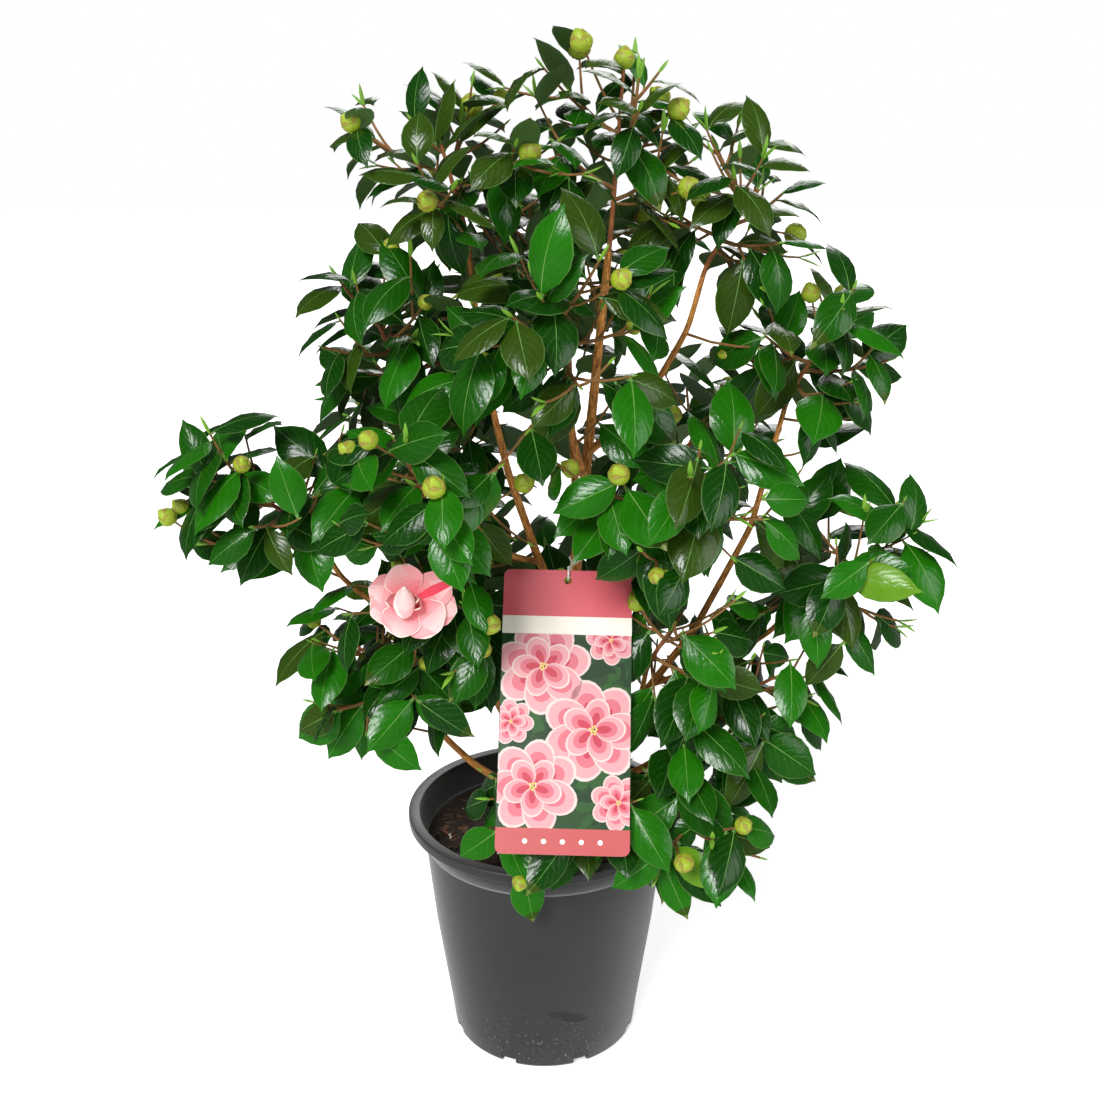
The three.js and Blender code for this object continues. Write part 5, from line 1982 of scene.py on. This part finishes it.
# The blossoms on the label's panel: x and y from the label's middle, radius, and turn.
LABEL_BLOSSOMS = [
    (38, 60, 22, 0.3),
    (-46, -12, 20, 0.8),
    (46, -78, 24, 0.1),
    (-20, 36, 42, 0.2),
    (24, -18, 44, 0.9),
    (-26, -66, 40, 0.5),
]


def label_motifs():
    """Broad blossoms and leaves strewn over the panel, with plain dots on the foot."""
    gather = Gatherer()
    half = LABEL_WIDTH / 2
    (_, foot), (_, top) = panel_corners()
    draw = Draws(MOTIF_SEED)
    for k in range(MOTIF_LEAVES):
        x, y, turn = draw.spread(-half, half), draw.spread(foot, top), draw.spread(0, 6.28)
        leaf = oval(x, y, draw.spread(8, 15), draw.spread(3.5, 6), turn, point=0.7)
        add_inlay(gather, kept_inside(leaf, *panel_corners()), INLAY * (0.2 + 0.01 * k), 3 + k % 2)
    for number, (x, y, size, turn) in enumerate(LABEL_BLOSSOMS):
        add_blossom(gather, x, y, size, turn, 2 + 1.5 * number)
    for j in range(FOOT_DOTS):
        dot = oval(half * (-0.56 + 0.28 * j), (foot - LABEL_LENGTH / 2) / 2, 2.2, 2.2, 0)
        add_inlay(gather, dot, INLAY, 5)
    materials = mottled_all([
        ("motif_petal", "e0cdc8", "dcc0bd"),
        ("motif_blush", "dfa5a8", "d8949a"),
        ("motif_eye", "f4d67a", "e9c055"),
        ("motif_leaf", "2f6228", "20481c"),
        ("motif_leaf_dark", "1f4420", "143018"),
        ("motif_white", "ece4d8", "ece4d8"),
        ("motif_rose", "c44456", "b83a4c"),
        ("motif_pink", "d57683", "cc6675"),
    ], patch=40, grain=200, rough=(0.3, 0.38), bump=0.04, Specular_IOR_Level=0.3)
    piece = gather.piece("label_motifs", materials)
    piece.data.transform(Matrix.Scale(1 / MM, 4))
    to_label(piece)
    return piece


class SHRUB_OT_tie(bpy.types.Operator):
    """Finish the thin plastic loop that holds the label to the stem"""

    bl_idname = "shrub.tie"
    bl_label = "Label tie"

    def execute(self, context):
        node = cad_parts["label_tie"]
        dress(node, [mottled("tie_plastic", colour("f1efe8"), colour("e3e0d6"), rough=(0.3, 0.45))])
        return {"FINISHED"}


# ---- The studio ----------------------------------------------------------------------------------

# Each lamp: its name, where it shines from, its share of the main strength and how broad it is in degrees.
LAMPS = [
    ("main", (-0.9, -2.0, 2.3), 1.0, 22),
    ("side", (2.4, -1.2, 1.6), 0.3, 35),
    ("back", (0.4, 2.2, 1.8), 0.4, 35),
]
LIT = Vector((0, 0, 0.5))  # what the lamps point at
WHITE = (1, 1, 1, 1)
FLOOR_GLOW = 0.4
FLOOR_IN_MIRRORS = 0.15
CAMERA_PLACE = (0, -1.119, 0.845)
CAMERA_PITCH = 17.67
CAMERA_YAW = -0.28
CAMERA_LENS = 42.55


def dim_in_mirrors(material):
    """The floor shows only faintly in glossy surfaces, as under a soft box."""
    tree = material.node_tree
    surface = tree.nodes["Principled BSDF"]
    mirrored = add_node(tree, "LightPath").outputs["Is Glossy Ray"]
    bright = surface.inputs["Base Color"].links[0].from_socket
    dim = blended(tree, mirrored, bright, (FLOOR_IN_MIRRORS, FLOOR_IN_MIRRORS, FLOOR_IN_MIRRORS, 1))
    glow = sum_of(tree, "MULTIPLY_ADD", mirrored, -FLOOR_GLOW, FLOOR_GLOW)
    feed(tree, surface, Base_Color=dim, Emission_Color=WHITE, Emission_Strength=glow)


def add_floor():
    pick()
    bpy.ops.mesh.primitive_plane_add(size=30, location=(0, 0, -0.0005))
    floor = bpy.context.object
    floor.name = "floor"
    white = mottled("floor_white", WHITE, colour("fdfdfd"), patch=2, rough=(0.8, 0.9), bump=0)
    dress(floor, [white])
    dim_in_mirrors(white)


def add_world(scene, settings):
    """Even white light, which glossy surfaces mirror as a dim room, and a white backdrop."""
    scene.world = bpy.data.worlds.new("studio")
    scene.world.use_nodes = True
    tree = scene.world.node_tree
    rays = add_node(tree, "LightPath").outputs
    sky = feed(tree, tree.nodes["Background"], Color=WHITE, Strength=settings.sky)
    room = add_node(tree, "Background", Color=WHITE, Strength=settings.sheen)
    backdrop = add_node(tree, "Background", Color=WHITE)
    light = sky.outputs["Background"]
    for ray, seen in (("Is Glossy Ray", room), ("Is Camera Ray", backdrop)):
        either = add_node(tree, "MixShader", Fac=rays[ray])
        connect(tree, either.inputs[1], light)
        connect(tree, either.inputs[2], seen.outputs["Background"])
        light = either.outputs["Shader"]
    connect(tree, tree.nodes["World Output"].inputs["Surface"], light)


def add_lamps(settings):
    for name, place, strength, angle in LAMPS:
        bpy.ops.object.light_add(type="SUN", location=place)
        lamp = bpy.context.object
        lamp.name = name
        lamp.data.energy = settings.sun * strength
        lamp.data.angle = math.radians(angle)
        lamp.rotation_euler = (LIT - Vector(place)).to_track_quat("-Z", "Y").to_euler()


def add_camera(scene):
    turn = (math.radians(90 - CAMERA_PITCH), 0, math.radians(CAMERA_YAW))
    bpy.ops.object.camera_add(location=CAMERA_PLACE, rotation=turn)
    scene.camera = bpy.context.object
    scene.camera.data.lens = CAMERA_LENS
    scene.camera.data.sensor_width = 36
    scene.camera.data.clip_start = 0.01


class SHRUB_OT_studio(bpy.types.Operator):
    """Set the pale floor, the soft lights and the camera"""

    bl_idname = "shrub.studio"
    bl_label = "Studio"

    def execute(self, context):
        scene = context.scene
        add_floor()
        add_world(scene, scene.shrub_studio)
        add_lamps(scene.shrub_studio)
        add_camera(scene)
        scene.view_settings.view_transform = "Standard"
        return {"FINISHED"}


class SHRUB_PT_panel(bpy.types.Panel):
    """Lists the shrub's pieces in the order that they are made"""

    bl_label = "Potted camellia"
    bl_space_type = "VIEW_3D"
    bl_region_type = "UI"
    bl_category = "Camellia"

    def draw(self, context):
        for group, _ in SETTINGS:
            settings = getattr(context.scene, group)
            for prop in settings.bl_rna.properties:
                if prop.identifier not in ("rna_type", "name"):
                    self.layout.prop(settings, prop.identifier)
        for operator in OPERATORS:
            self.layout.operator(operator.bl_idname)


SETTINGS = [
    ("shrub_foliage", FoliageSettings),
    ("shrub_wood", WoodSettings),
    ("shrub_pot", PotSettings),
    ("shrub_label", LabelSettings),
    ("shrub_bloom", BloomSettings),
    ("shrub_studio", StudioSettings),
]
OPERATORS = [
    SHRUB_OT_studio,
    SHRUB_OT_pot,
    SHRUB_OT_soil,
    SHRUB_OT_limbs,
    SHRUB_OT_twigs,
    SHRUB_OT_leaves,
    SHRUB_OT_buds,
    SHRUB_OT_bloom,
    SHRUB_OT_label,
    SHRUB_OT_tie,
]


def register():
    for group, settings in SETTINGS:
        bpy.utils.register_class(settings)
        setattr(bpy.types.Scene, group, bpy.props.PointerProperty(type=settings))
    for operator in OPERATORS:
        bpy.utils.register_class(operator)
    bpy.utils.register_class(SHRUB_PT_panel)


def unregister():
    bpy.utils.unregister_class(SHRUB_PT_panel)
    for operator in reversed(OPERATORS):
        bpy.utils.unregister_class(operator)
    for group, settings in reversed(SETTINGS):
        delattr(bpy.types.Scene, group)
        bpy.utils.unregister_class(settings)


def main():
    register()
    for operator in OPERATORS:
        getattr(bpy.ops.shrub, operator.bl_idname.split(".")[1])()


if __name__ == "__main__":
    main()
